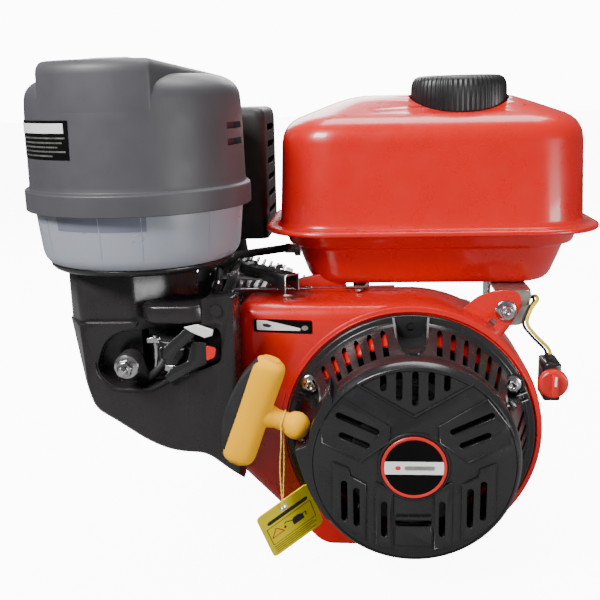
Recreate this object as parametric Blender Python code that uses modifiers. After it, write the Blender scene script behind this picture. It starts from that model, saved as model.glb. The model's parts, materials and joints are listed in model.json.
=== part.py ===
"""Small single-cylinder gasoline engine with a recoil starter, modelled as separate sub-parts.

Frame: +Z up, +Y towards the output shaft, +X away from the cylinder head. The origin is on the
underside of the base, below the crank axis. Sizes in this file are millimetres, and the helper
functions turn them into Blender's metres.
"""

import bpy
import bmesh
from math import atan2, cos, pi, radians, sin
from mathutils import Matrix, Quaternion, Vector

MM = 0.001
GAP = 0.3                       # clearance between touching pieces

# Base and crankcase
CRANK_Z = 106                   # crank axis above the base
BASE_X, BASE_Y0, BASE_Y1, BASE_H = 92, -52, 58, 12
BOLT_X, BOLT_Y, BOLT_R = 81, 37.75, 4.5
CASE_X, CASE_Y0, CASE_Y1, CASE_TOP = 72, -56, 60, 170
WALL = 6

# Cylinder, inclined towards -X
TILT = radians(25)              # above horizontal
BORE_R = 35
THROW = 27                      # half the stroke
ROD = 84
DECK = 142                      # crank axis to the head joint
HEAD_END = 185
COVER_END = 213
CYL_Y = 5                       # middle of the cylinder along the shaft

# Shaft line
PTO_FACE = 75
SHAFT_END = 136
SHAFT_R = 9.5
JOURNAL_R = 12.2
BEARING_R, BEARING_W = 25.7, 15
GEAR_MODULE = 2.375
CRANK_TEETH, CAM_TEETH = 16, 32
CAM_ANGLE = radians(-115)

# Blower housing and recoil starter, all about the crank axis
SHROUD_R = 104
SHROUD_FRONT, SHROUD_BACK = -121, -58
SHROUD_TOP, SHROUD_LEFT = 210, -137
SHROUD_EYE = 80
FAN_BLADES = 12
RING_FRONT = -125
RING_R = 97
DRUM_R = 78
RECOIL_FRONT = -185
RECOIL_WALL = 2.5
RECOIL_BOLT_R = 88
BOLT_SEAT = -124.4
RECOIL_BOLT_ANGLES = (151.7, 28.3, 270)
ROPE_Y = -167

# Starter handle: the grip leans, and the stem points at the rope exit
GRIP = Vector((-117, ROPE_Y, 141.5))
STEM_TILT = radians(-20)
GRIP_LENGTH, GRIP_R = 86, 12.5
STEM_LENGTH = 33
PULL = Vector((-0.80, -0.55, 0.24)).normalized()

# Air cleaner
AIR_X, AIR_Y = -208.6, -101.8
BOWL_Z0, BOWL_Z1 = 241.3, 285.7
BOWL_R0, BOWL_R1 = 74, 79.5
RIM_Z0, RIM_Z1, RIM_R = 286, 303, 86
CAP_R, CAP_SHOULDER, CAP_TOP = 82, 374, 400

# Intake line
PORT_S = 170                    # port position along the cylinder axis
DUCT_FRONT, DUCT_BACK = -158, -97.3
CHOKE = (-178, 185)             # lever axes, x and z
FUEL_VALVE = (-179, 165.5)
LEVER_Y = -160

# Fuel tank
TANK_X0, TANK_X1 = -104, 141
TANK_Y0, TANK_Y1 = -97, 62
TANK_TOP, SEAM_Z, PAN_Z = 350, 262, 215
TANK_CORNER, TANK_WALL = 44, 2
FLANGE = 12
CAP_X, CAP_Y, FUEL_CAP_R = 42, -35, 39


# Collections, materials and basic shapes

def clear_scene():
    for obj in list(bpy.data.objects):
        bpy.data.objects.remove(obj, do_unlink=True)


def new_collection(name):
    collection = bpy.data.collections.new(name)
    bpy.context.scene.collection.children.link(collection)
    return collection


def surface(name, colour, roughness, metallic=0.0, alpha=1.0):
    material = bpy.data.materials.new(name)
    material.use_nodes = True
    shader = material.node_tree.nodes["Principled BSDF"]
    shader.inputs["Base Color"].default_value = (*colour, 1.0)
    shader.inputs["Roughness"].default_value = roughness
    shader.inputs["Metallic"].default_value = metallic
    shader.inputs["Alpha"].default_value = alpha
    material.diffuse_color = (*colour, alpha)
    return material


clear_scene()
ENGINE = new_collection("gasoline_engine")
CUTTERS = new_collection("cutters")
RED = surface("red_paint", (0.75, 0.02, 0.01), 0.25)
DARK = surface("dark_plastic", (0.04, 0.04, 0.042), 0.35)
DUCT_GREY = surface("duct_plastic", (0.05, 0.048, 0.048), 0.4)
CAP_GREY = surface("cap_plastic", (0.12, 0.12, 0.128), 0.5)
MILKY = surface("milky_plastic", (0.4, 0.41, 0.44), 0.3, alpha=0.8)
YELLOW = surface("yellow_plastic", (0.9, 0.65, 0.02), 0.4)
CASTING = surface("cast_aluminium", (0.5, 0.5, 0.5), 0.55, 0.8)
STEEL = surface("bright_steel", (0.6, 0.6, 0.6), 0.3, 1.0)
ZINC = surface("zinc_plate", (0.45, 0.45, 0.43), 0.35, 1.0)
BLACK_METAL = surface("black_metal", (0.02, 0.02, 0.02), 0.45, 0.3)
RUBBER = surface("black_rubber", (0.02, 0.02, 0.02), 0.6)
CERAMIC = surface("ceramic", (0.85, 0.85, 0.82), 0.2)
PAPER = surface("filter_paper", (0.7, 0.55, 0.3), 0.9)
CARD = surface("yellow_card", (0.9, 0.85, 0.02), 0.5)


def add(name, mesh, helper=False):
    """A new object, in the engine's collection or, as a helper, in the cutters' one."""
    obj = bpy.data.objects.new(name, mesh)
    (CUTTERS if helper else ENGINE).objects.link(obj)
    if helper:
        obj.hide_render = True
        obj.display_type = "WIRE"
    return obj


def paint(obj, material):
    obj.data.materials.clear()
    obj.data.materials.append(material)
    return obj


def from_bmesh(name, shape, helper=False):
    mesh = bpy.data.meshes.new(name)
    bmesh.ops.recalc_face_normals(shape, faces=shape.faces)
    shape.to_mesh(mesh)
    shape.free()
    return add(name, mesh, helper)


def aim(obj, start, direction):
    """Places an object made along its own Z so that it runs along direction from start."""
    turn = Vector((0, 0, 1)).rotation_difference(Vector(direction).normalized())
    obj.matrix_world = Matrix.Translation(Vector(start) * MM) @ turn.to_matrix().to_4x4()
    return obj


def box(name, low, high, helper=False, bevel=0.0, segments=1):
    low, high = Vector(low), Vector(high)
    shape = bmesh.new()
    bmesh.ops.create_cube(shape, size=1.0)
    bmesh.ops.scale(shape, vec=(high - low) * MM, verts=shape.verts)
    obj = from_bmesh(name, shape, helper)
    obj.location = (low + high) / 2 * MM
    if bevel:
        edges = obj.modifiers.new("rounded", "BEVEL")
        edges.width = bevel * MM
        edges.segments = segments
    return obj


def rod(name, start, end, radius, sides=16, helper=False, end_radius=None):
    """A cylinder or a cone between two points."""
    start, end = Vector(start), Vector(end)
    length = (end - start).length
    shape = bmesh.new()
    bmesh.ops.create_cone(
        shape, cap_ends=True, segments=sides, depth=length * MM,
        radius1=radius * MM, radius2=(radius if end_radius is None else end_radius) * MM,
    )
    bmesh.ops.translate(shape, verts=shape.verts, vec=(0, 0, length / 2 * MM))
    return aim(from_bmesh(name, shape, helper), start, end - start)


def turned(name, profile, start, direction, steps=32, helper=False):
    """A profile of (radius, height) pairs turned about direction through start."""
    area = sum(a[0] * b[1] - b[0] * a[1] for a, b in zip(profile, profile[1:] + profile[:1]))
    points = list(reversed(profile)) if area > 0 else list(profile)
    solid = any(radius < 1e-6 for radius, _ in points)
    if solid:
        first = next(i for i, p in enumerate(points) if p[0] < 1e-6 and points[i - 1][0] < 1e-6)
        points = points[first:] + points[:first]
    shape = bmesh.new()
    verts = [shape.verts.new((radius * MM, 0, height * MM)) for radius, height in points]
    for a, b in zip(verts, verts[1:]):
        shape.edges.new((a, b))
    if not solid:
        shape.edges.new((verts[-1], verts[0]))
    mesh = bpy.data.meshes.new(name)
    shape.to_mesh(mesh)
    shape.free()
    obj = add(name, mesh, helper)
    spin = obj.modifiers.new("turned", "SCREW")
    spin.steps = steps
    spin.render_steps = steps
    spin.use_merge_vertices = True
    spin.merge_threshold = 1e-6
    return aim(obj, start, direction)


def as_mesh(curve_object, helper=False):
    """The curve's evaluated mesh, with its caps welded on."""
    bpy.context.view_layer.update()
    graph = bpy.context.evaluated_depsgraph_get()
    mesh = bpy.data.meshes.new_from_object(curve_object.evaluated_get(graph))
    shape = bmesh.new()
    shape.from_mesh(mesh)
    bmesh.ops.remove_doubles(shape, verts=shape.verts, dist=1e-6)
    bmesh.ops.dissolve_limit(shape, angle_limit=radians(0.5), verts=shape.verts, edges=shape.edges)
    bmesh.ops.recalc_face_normals(shape, faces=shape.faces)
    shape.to_mesh(mesh)
    shape.free()
    name, place = curve_object.name, curve_object.matrix_world.copy()
    bpy.data.objects.remove(curve_object, do_unlink=True)
    obj = add(name, mesh, helper)
    obj.name = name
    obj.matrix_world = place
    return obj


FACINGS = {
    "Z": Matrix.Identity(4),
    "Y": Matrix.Rotation(pi / 2, 4, "X"),
    "X": Matrix.Rotation(pi / 2, 4, "Z") @ Matrix.Rotation(pi / 2, 4, "X"),
}


def plate(name, outline, low, high, facing="Y", helper=False):
    """A flat outline, extruded between low and high along the facing axis.

    Outline points are (x, z) facing Y, (x, y) facing Z and (y, z) facing X.
    """
    curve = bpy.data.curves.new(name, "CURVE")
    curve.dimensions = "2D"
    curve.fill_mode = "BOTH"
    curve.extrude = (high - low) / 2 * MM
    line = curve.splines.new("POLY")
    line.points.add(len(outline) - 1)
    for point, (a, b) in zip(line.points, outline):
        point.co = (a * MM, b * MM, 0, 1)
    line.use_cyclic_u = True
    obj = add(name, curve, helper)
    middle = Vector([(low + high) / 2 * MM * (axis == facing) for axis in "XYZ"])
    obj.matrix_world = Matrix.Translation(middle) @ FACINGS[facing]
    return as_mesh(obj, helper)


def tube(name, points, radius, resolution=2):
    curve = bpy.data.curves.new(name, "CURVE")
    curve.dimensions = "3D"
    curve.bevel_depth = radius * MM
    curve.bevel_resolution = resolution
    curve.use_fill_caps = True
    line = curve.splines.new("POLY")
    line.points.add(len(points) - 1)
    for point, place in zip(line.points, points):
        point.co = (*(Vector(place) * MM), 1)
    return as_mesh(add(name, curve))


def smooth_route(knots, per_span=2):
    """Points on a smooth curve through the knots."""
    knots = [Vector(k) for k in knots]
    ends = [2 * knots[0] - knots[1]] + knots + [2 * knots[-1] - knots[-2]]
    route = []
    for a, b, c, d in zip(ends, ends[1:], ends[2:], ends[3:]):
        for step in range(per_span):
            t = step / per_span
            route.append(
                0.5 * (2 * b + (c - a) * t + (2 * a - 5 * b + 4 * c - d) * t * t
                       + (3 * b - a - 3 * c + d) * t ** 3)
            )
    return route + [knots[-1]]


def loft(name, rings, helper=False):
    """A closed body through rings that have the same number of points."""
    shape = bmesh.new()
    rows = [[shape.verts.new(Vector(p) * MM) for p in ring] for ring in rings]
    count = len(rows[0])
    for lower, upper in zip(rows, rows[1:]):
        for i in range(count):
            j = (i + 1) % count
            shape.faces.new((lower[i], lower[j], upper[j], upper[i]))
    shape.faces.new(list(reversed(rows[0])))
    shape.faces.new(rows[-1])
    return from_bmesh(name, shape, helper)


def rounded(x0, x1, y0, y1, radius, steps=3):
    """The outline of a rectangle with round corners."""
    outline = []
    corners = ((x1, y1, 0), (x0, y1, 90), (x0, y0, 180), (x1, y0, 270))
    for x, y, start in corners:
        cx = x - radius if x == x1 else x + radius
        cy = y - radius if y == y1 else y + radius
        for step in range(steps + 1):
            angle = radians(start + 90 * step / steps)
            outline.append((cx + radius * cos(angle), cy + radius * sin(angle)))
    return outline


def arc(cx, cy, radius, start, end, steps):
    """Points along an arc, with its angles in degrees."""
    angles = [radians(start + (end - start) * i / steps) for i in range(steps + 1)]
    return [(cx + radius * cos(a), cy + radius * sin(a)) for a in angles]


def boolean(obj, other, operation):
    change = obj.modifiers.new(operation.lower(), "BOOLEAN")
    change.operation = operation
    change.object = other
    return obj


def cut(obj, *others):
    for other in others:
        boolean(obj, other, "DIFFERENCE")
    return obj


def join(obj, *others):
    for other in others:
        boolean(obj, other, "UNION")
    return obj


def pivot(name, place, *objects):
    """An empty on a joint's axis that carries the objects."""
    empty = bpy.data.objects.new(name, None)
    ENGINE.objects.link(empty)
    empty.location = Vector(place) * MM
    empty.empty_display_size = 0.02
    bpy.context.view_layer.update()
    for obj in objects:
        place_now = obj.matrix_world.copy()
        obj.parent = empty
        obj.matrix_parent_inverse = empty.matrix_world.inverted()
        obj.matrix_world = place_now
    return empty


# Directions of the inclined cylinder
ALONG = Vector((-cos(TILT), 0, sin(TILT)))
ACROSS = Vector((sin(TILT), 0, cos(TILT)))
CRANK = Vector((0, 0, CRANK_Z))
LEVEL = Quaternion((0, 1, 0), TILT)    # turns -X onto the cylinder's axis


def on_cylinder(s, across=0.0, y=CYL_Y):
    """The point at distance s from the crank along the cylinder's axis."""
    return CRANK + ALONG * s + ACROSS * across + Vector((0, y, 0))


def tilted_box(name, s0, s1, across, half_y, helper=True, middle=0.0):
    """A box aligned with the cylinder, from s0 to s1 along it."""
    obj = box(name, (-(s1 - s0) / 2, -half_y, -across), ((s1 - s0) / 2, half_y, across), helper)
    place = Matrix.Translation(on_cylinder((s0 + s1) / 2, middle) * MM)
    obj.matrix_world = place @ LEVEL.to_matrix().to_4x4()
    return obj


# Crankcase, cylinder and covers

def crankcase():
    case = box("crankcase", (-CASE_X, CASE_Y0, 3), (CASE_X, CASE_Y1, CASE_TOP), bevel=8, segments=2)
    join(case, box("base_plate", (-BASE_X, BASE_Y0, 0), (BASE_X, BASE_Y1, BASE_H), True, bevel=4))
    join(case, rod("barrel", on_cylinder(30), on_cylinder(DECK - 2), 43, 24, True))
    join(case, tilted_box("deck_flange", DECK - 7, DECK, 46, 46))
    for i in range(5):
        s = 78 + 11 * i
        join(case, tilted_box(f"barrel_fin_{i}", s, s + 3, 50 - i, 48))
    low = (-CASE_X + WALL, CASE_Y0 + WALL, BASE_H)
    high = (CASE_X - WALL, CASE_Y1 + 1, CASE_TOP - WALL)
    cut(case, box("case_space", low, high, True))
    join(case, rod("bearing_boss", (0, CASE_Y0, CRANK_Z), (0, -41, CRANK_Z), 33, 24, True))
    join(case, box("foot_rib", (-CASE_X - 12, -20, 4), (-CASE_X + 2, 20, 40), True))
    cut(case, rod("bore", on_cylinder(20), on_cylinder(DECK + 1), BORE_R + 2 * GAP, 24, True))
    cut(case, rod("front_bearing_seat", (0, -57, CRANK_Z), (0, -40, CRANK_Z), BEARING_R + GAP, 24, True))
    for i, (x, y) in enumerate(((-1, -1), (1, -1), (-1, 1), (1, 1))):
        x, y = x * BOLT_X, y * BOLT_Y
        cut(case, rod(f"foot_hole_{i}", (x, y, -1), (x, y, BASE_H + 1), BOLT_R, 12, True))
    cut(case, rod("drain_hole", (60, 20, 25), (80, 20, 25), 5 + GAP, 12, True))
    cut(case, rod("filler_hole", (60, 20, 52), (80, 20, 52), 9 + GAP, 16, True))
    return paint(case, CASTING)


def side_cover():
    outline = rounded(-CASE_X, CASE_X, 9, CASE_TOP, 12, 3)
    cover = plate("side_cover", outline, CASE_Y1 + GAP, 68)
    join(cover, rod("mounting_ring", (0, 62, CRANK_Z), (0, PTO_FACE, CRANK_Z), 57, 32, True))
    cut(cover, rod("rear_bearing_seat", (0, 60, CRANK_Z), (0, 70, CRANK_Z), BEARING_R + GAP, 24, True))
    cut(cover, rod("shaft_hole", (0, 60, CRANK_Z), (0, 76, CRANK_Z), SHAFT_R + 2, 20, True))
    for i, angle in enumerate((45, 135, 225, 315)):
        x, z = 46 * cos(radians(angle)), CRANK_Z + 46 * sin(radians(angle))
        cut(cover, rod(f"face_hole_{i}", (x, 64, z), (x, 76, z), 3.5, 12, True))
    return paint(cover, CASTING)


def cylinder_head():
    head = tilted_box("cylinder_head", DECK + GAP, HEAD_END, 33, 38, helper=False)
    for i in range(3):
        s = DECK + GAP + 1 + 11 * i
        join(head, tilted_box(f"head_fin_{i}", s, s + 4, 46, 46))
    join(head, tilted_box("head_deck", HEAD_END - 6, HEAD_END, 40, 42))
    port = on_cylinder(PORT_S)
    join(head, rod("intake_boss", (port.x, -20, port.z), (port.x, -47, port.z), 15, 20, True))
    join(head, rod("exhaust_boss", (port.x, 30, port.z), (port.x, 57, port.z), 15, 20, True))
    cut(head, rod("intake_port", (port.x, -22, port.z), (port.x, -48, port.z), 9, 16, True))
    cut(head, rod("exhaust_port", (port.x, 32, port.z), (port.x, 58, port.z), 9, 16, True))
    cut(head, rod("chamber", on_cylinder(DECK - 1), on_cylinder(DECK + 8), 32, 24, True, 24))
    cut(head, rod("plug_hole", on_cylinder(160, -50), on_cylinder(148, -8), 5.3, 12, True))
    return paint(head, CASTING)


def rocker_rings(inset, start, end):
    rings = []
    for s, shrink, radius in ((start, 0, 12), (end - 8, 2, 12), (end, 8, 10)):
        half = rounded(-38 + shrink + inset, 38 - shrink - inset,
                       -40 + shrink + inset, 40 - shrink - inset, radius, 3)
        rings.append([on_cylinder(s, a, CYL_Y + y) for a, y in half])
    return rings


def rocker_cover():
    cover = loft("rocker_cover", rocker_rings(0, HEAD_END + GAP, COVER_END))
    cut(cover, loft("rocker_space", rocker_rings(2.5, HEAD_END - 1, COVER_END - 2.5), True))
    return paint(cover, BLACK_METAL)


PLUG_FROM = on_cylinder(160, -50)
PLUG_WAY = (on_cylinder(148, -8) - PLUG_FROM).normalized() * -1


def spark_plug():
    profile = [(0, -30), (4.9, -30), (4.9, 0), (9, 0), (10, 2), (10, 9), (7, 11), (5, 13),
               (5, 31), (3, 32), (3, 37), (0, 37)]
    return paint(turned("spark_plug", profile, PLUG_FROM, PLUG_WAY, 12), CERAMIC)


def spark_plug_cap():
    profile = [(5.6, 14), (9.5, 14), (10, 20), (9, 44), (6, 48), (0, 48), (0, 39), (5.6, 39)]
    cap = turned("spark_plug_cap", profile, PLUG_FROM, PLUG_WAY, 12)
    elbow = PLUG_FROM + PLUG_WAY * 44.5
    join(cap, rod("cap_elbow", elbow, elbow + Vector((4, -18, 2)), 5.5, 12, True))
    return paint(cap, RUBBER)


COIL_LOW, COIL_HIGH = Vector((-122, -104, 68)), Vector((-94, -80, 93))


def ignition_lead():
    elbow = PLUG_FROM + PLUG_WAY * 44.5 + Vector((4, -18, 2)) * 1.08
    knots = [elbow, elbow + Vector((3, -12, 1)), (-158, -44, 84), (-135, -52, 82),
             (-118, -62, 80), (-112, -72, 79), (-110, COIL_HIGH.y + GAP, 79)]
    return paint(tube("ignition_lead", smooth_route(knots), 3.2), RUBBER)


def ignition_coil():
    coil = box("ignition_coil", COIL_LOW, COIL_HIGH, bevel=3)
    for i, z in enumerate((70, 86)):
        join(coil, box(f"coil_leg_{i}", (-96, -98, z), (-88.5 if z > 80 else -84.5, -86, z + 6), True))
    join(coil, box("coil_foot", (-118, -81, 68.6), (-98, -58, 72.4), True))
    cut(coil, box("lead_well", (-114.5, -81.5, 75.2), (-105.5, -70, 83), True))
    return paint(coil, DARK)


# Crank train

def gear_outline(teeth, centre_x, centre_z, start):
    """Trapezoid teeth; the first one points at the angle start."""
    pitch = GEAR_MODULE * teeth / 2
    tip, root = pitch + 0.8 * GEAR_MODULE, pitch - 1.2 * GEAR_MODULE
    step = 2 * pi / teeth
    outline = []
    for i in range(teeth):
        middle = start + i * step
        for share, radius in ((-0.26, root), (-0.07, tip), (0.07, tip), (0.26, root)):
            angle = middle + share * step
            outline.append((centre_x + radius * cos(angle), centre_z + radius * sin(angle)))
    return outline


CAM_DISTANCE = GEAR_MODULE * (CRANK_TEETH + CAM_TEETH) / 2
CAM = CRANK + CAM_DISTANCE * Vector((cos(CAM_ANGLE), 0, sin(CAM_ANGLE)))


def crankshaft():
    pin = CRANK + ALONG * THROW
    profile = [(0, SHAFT_END), (8.7, SHAFT_END), (SHAFT_R, 134), (SHAFT_R, 60), (JOURNAL_R, 60),
               (JOURNAL_R, -71), (9, -103.1), (7, -103.1), (7, -120), (0, -120)]
    shaft = turned("crankshaft", profile, (0, 0, CRANK_Z), (0, 1, 0), 16)
    for i, (low, high) in enumerate(((-22, -8), (18, 32))):
        cheek = plate(f"crank_web_{i}", arc(0, 0, 47, 100, 260, 8) + arc(THROW, 0, 19, -70, 70, 6),
                      low, high, helper=True)
        turn = Matrix.Rotation(-pi + TILT, 4, "Y")
        cheek.matrix_world = (
            Matrix.Translation(Vector((0, 0, CRANK_Z * MM))) @ turn @ cheek.matrix_world
        )
        join(shaft, cheek)
    cut(shaft, rod("throw_gap", (0, -8, CRANK_Z), (0, 18, CRANK_Z), 60, 20, True))
    join(shaft, rod("crank_pin", pin + Vector((0, -12, 0)), pin + Vector((0, 22, 0)), 14.5, 20, True))
    gear = plate("crank_gear", gear_outline(CRANK_TEETH, 0, CRANK_Z, CAM_ANGLE), 36, 43, helper=True)
    join(shaft, gear)
    cut(shaft, box("keyway", (-2.4, 92, CRANK_Z + 6), (2.4, SHAFT_END + 1, CRANK_Z + 12), True))
    return paint(shaft, STEEL)


def camshaft():
    start = CAM_ANGLE + pi + pi / CAM_TEETH
    cam = plate("camshaft", gear_outline(CAM_TEETH, CAM.x, CAM.z, start), 36.5, 42.5)
    join(cam, rod("cam_axle", CAM + Vector((0, -48, 0)), CAM + Vector((0, 59, 0)), 7, 16, True))
    for i, (y, angle) in enumerate(((-41, 40), (-32, 140))):
        lobe = plate(f"cam_lobe_{i}", arc(0, 0, 11, 90, 270, 6) + arc(6, 0, 7, -80, 80, 4),
                     y, y + 8, helper=True)
        turn = Matrix.Translation(CAM * MM) @ Matrix.Rotation(radians(angle), 4, "Y")
        lobe.matrix_world = turn @ lobe.matrix_world
        join(cam, lobe)
    return paint(cam, STEEL)


def main_bearing(name, y0):
    profile = [(JOURNAL_R + GAP, 0), (BEARING_R, 0), (BEARING_R, BEARING_W), (JOURNAL_R + GAP, BEARING_W)]
    return paint(turned(name, profile, (0, y0, CRANK_Z), (0, 1, 0), 24), STEEL)


def piston():
    top = THROW + ROD + 22
    profile = [(0, top), (BORE_R - GAP, top), (BORE_R - GAP, top - 44), (29, top - 44),
               (29, top - 8), (0, top - 8)]
    body = turned("piston", profile, CRANK + Vector((0, CYL_Y, 0)), ALONG, 24)
    centre = on_cylinder(THROW + ROD)
    for i, side in enumerate((-1, 1)):
        a, b = centre + Vector((0, side * 14, 0)), centre + Vector((0, side * 31, 0))
        join(body, rod(f"pin_boss_{i}", a, b, 13, 16, True))
    cut(body, rod("pin_bore", centre - Vector((0, 40, 0)), centre + Vector((0, 40, 0)), 9.3, 16, True))
    return paint(body, CASTING)


def piston_pin():
    centre = on_cylinder(THROW + ROD)
    pin = rod("piston_pin", centre - Vector((0, 29, 0)), centre + Vector((0, 29, 0)), 9, 16)
    cut(pin, rod("pin_hollow", centre - Vector((0, 30, 0)), centre + Vector((0, 30, 0)), 5.5, 12, True))
    return paint(pin, STEEL)


def connecting_rod():
    """The rod at top dead centre. Its big end is open below, clear of the crank pin's whole path."""
    small, big = on_cylinder(THROW + ROD), on_cylinder(THROW)
    link = rod("connecting_rod", small - Vector((0, 10, 0)), small + Vector((0, 10, 0)), 13, 20)
    join(link, tilted_box("rod_shank", THROW + 8, THROW + ROD - 9, 7.5, 5))
    join(link, rod("big_end", big - Vector((0, 10, 0)), big + Vector((0, 10, 0)), 21, 24, True))
    cut(link, rod("small_bore", small - Vector((0, 11, 0)), small + Vector((0, 11, 0)), 9.3, 16, True))
    cut(link, rod("pin_path", (0, -20, CRANK_Z), (0, 30, CRANK_Z), THROW + 15, 40, True))
    return paint(link, CASTING)


def flywheel():
    profile = [(JOURNAL_R + 0.4, -66), (30, -66), (34, -88), (72, -91), (72, -76), (82, -76), (82, -103),
               (9.4, -103), (JOURNAL_R + 0.4, -71)]
    return paint(turned("flywheel", profile, (0, 0, CRANK_Z), (0, 1, 0), 24), CASTING)


def cooling_fan():
    profile = [(40, -103.4), (82, -103.4), (82, -105.5), (40, -105.5)]
    fan = turned("cooling_fan", profile, (0, 0, CRANK_Z), (0, 1, 0), 24)
    inner, outer, low, high = 46, 81, -117.5, -104.5
    middle = Vector(((inner + outer) / 2, (low + high) / 2, 0))
    for i in range(FAN_BLADES):
        blade = box(f"blade_{i}", (inner, low, -1.2), (outer, high, 1.2), True)
        turn = Matrix.Rotation(2 * pi * i / FAN_BLADES, 4, "Y")
        blade.matrix_world = Matrix.Translation(CRANK * MM) @ turn @ Matrix.Translation(middle * MM)
        join(fan, blade)
    return paint(fan, DARK)


def starter_cup():
    profile = [(7.4, -103.4), (30, -103.4), (34, -106), (34, -140), (32, -140), (32, -107.5), (7.4, -107.5)]
    return paint(turned("starter_cup", profile, (0, 0, CRANK_Z), (0, 1, 0), 20), ZINC)


def flywheel_nut():
    nut = rod("flywheel_nut", (0, -107.9, CRANK_Z), (0, -118, CRANK_Z), 11.5, 6)
    cut(nut, rod("nut_bore", (0, -105, CRANK_Z), (0, -120, CRANK_Z), 7.4, 16, True))
    return paint(nut, STEEL)


# Blower housing and recoil starter

def shroud_outline(inset):
    """The scroll: round about the crank, with a pocket towards the cylinder."""
    left, top = SHROUD_LEFT + inset, SHROUD_TOP - inset
    right = arc(0, CRANK_Z, SHROUD_R - inset, -90, 88, 26)
    corner = arc(left + 14, top - 14, 14 - inset / 2, 90, 180, 4)
    low = arc(left + 12, 76 + inset, 12 - inset / 2, 180, 222, 2)
    foot = arc(-60, 26 + inset / 2, 22, 228, 264, 3)
    return right + corner + low + foot


def fan_cover():
    cover = plate("fan_cover", shroud_outline(0), SHROUD_FRONT, SHROUD_BACK)
    cut(cover, plate("shroud_space", shroud_outline(2), SHROUD_FRONT + 2, SHROUD_BACK + 1, helper=True))
    cut(cover, rod("shroud_eye", (0, -130, CRANK_Z), (0, -110, CRANK_Z), SHROUD_EYE, 36, True))
    for i, angle in enumerate(RECOIL_BOLT_ANGLES):
        x, z = on_bolt_circle(angle)
        cut(cover, rod(f"shroud_hole_{i}", (x, -125, z), (x, -115, z), 3.3, 12, True))
    return paint(cover, RED)


def radial_slot(name, angle, inner, outer, width, y0, y1):
    """A cutter along the radius at an angle in degrees."""
    slot = box(name, (inner, y0, -width / 2), (outer, y1, width / 2), True)
    place = Matrix.Translation(CRANK * MM) @ Matrix.Rotation(-radians(angle), 4, "Y")
    slot.matrix_world = place @ Matrix.Translation(Vector(((inner + outer) / 2, (y0 + y1) / 2, 0)) * MM)
    return slot


RING_SLOTS = [104 + 7.1 * i for i in range(6)] + [76 - 7.1 * i for i in range(6)]
SIDE_SLOTS = [14 - 7.1 * i for i in range(6)]
# Front slots as (x, z from the crank axis, length, lean in degrees)
FRONT_SLOTS = [
    (0, 58, 26, 90), (-11, 60, 20, 90), (11, 60, 20, 90), (-22.5, 62, 12, 90), (22.5, 62, 12, 90),
    (-40, 32, 34, -27), (40, 32, 34, 27), (-43, 19, 24, -25), (43, 19, 24, 25),
    (-50.5, -28, 32, 90), (50, -28, 32, 90), (-41.5, -33, 31, 90), (41, -33, 31, 90),
    (-21, -43, 29, 90), (21, -43, 29, 90), (0, -46, 26, 0),
]


def recoil_housing():
    front, back = RECOIL_FRONT, -121.3
    outer = [(0, front), (70, front), (75, front + 3), (DRUM_R, front + 9), (DRUM_R, front + 22),
             (90, -128), (91, RING_FRONT), (RING_R, RING_FRONT), (RING_R, back)]
    inner = [(81, back), (81, -144), (DRUM_R - 3, front + 22), (DRUM_R - 3, front + 10),
             (70, front + 3.5), (0, front + 3.5)]
    shell = turned("recoil_housing", outer + inner, (0, 0, CRANK_Z), (0, 1, 0), 40)
    join(shell, rod("reel_post", (0, front + 2, CRANK_Z), (0, -152, CRANK_Z), 8, 16, True))
    guide = box("rope_guide", (-89, -178, 100), (-68, -140, 146), True, bevel=4)
    cut(guide, rod("drum_inside", (0, -190, CRANK_Z), (0, -130, CRANK_Z), DRUM_R - 3, 48, True))
    join(shell, guide)
    cut(shell, rod("rope_hole", GRIP + stem_way() * 25, GRIP + stem_way() * 60, 4, 12, True))
    cut(shell, rod("ball_seat", GRIP, GRIP + stem_way() * (STEM_LENGTH + 11), 11.4, 20, True))
    boss_z = CRANK_Z + RECOIL_BOLT_R
    join(shell, rod("spare_boss", (0, -140, boss_z), (0, -123, boss_z), 8, 16, True))
    cut(shell, rod("spare_hole", (0, -145, boss_z), (0, -120, boss_z), 3.3, 12, True))
    for i, angle in enumerate(RING_SLOTS + SIDE_SLOTS):
        cut(shell, radial_slot(f"ring_slot_{i}", angle, 74, 88.5, 4.2, -162, -120))
    for i, (x, z, length, lean) in enumerate(FRONT_SLOTS):
        slot = box(f"front_slot_{i}", (-length / 2, -3, -2.1), (length / 2, 3, 2.1), True)
        slot.matrix_world = (
            Matrix.Translation(Vector((x, front + 2, CRANK_Z + z)) * MM)
            @ Matrix.Rotation(-radians(lean), 4, "Y")
        )
        cut(shell, slot)
    for i, angle in enumerate(RECOIL_BOLT_ANGLES):
        x, z = on_bolt_circle(angle)
        cut(shell, rod(f"bolt_room_{i}", (x, -170, z), (x, BOLT_SEAT, z), 8.2, 16, True))
        cut(shell, rod(f"bolt_hole_{i}", (x, -128, z), (x, -120, z), 3.3, 12, True))
    return paint(shell, DARK)


def on_bolt_circle(angle):
    return (RECOIL_BOLT_R * cos(radians(angle)), CRANK_Z + RECOIL_BOLT_R * sin(radians(angle)))


def recoil_bolt(number, angle):
    x, z = on_bolt_circle(angle)
    profile = [(0, 4.5), (3.6, 4.5), (4.6, 3.8), (4.8, 1.2), (7.4, 1.2), (7.4, 0), (2.9, 0),
               (2.9, -8), (0, -8)]
    bolt = turned(f"recoil_bolt_{number}", profile, (x, BOLT_SEAT - GAP, z), (0, -1, 0), 12)
    return paint(bolt, STEEL)


def recoil_emblem():
    back, front = RECOIL_FRONT - GAP, RECOIL_FRONT - 1.5
    disc = rod("recoil_emblem", (0, back, CRANK_Z), (0, front, CRANK_Z), 23.7, 32)
    return paint(disc, DARK)


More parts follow.
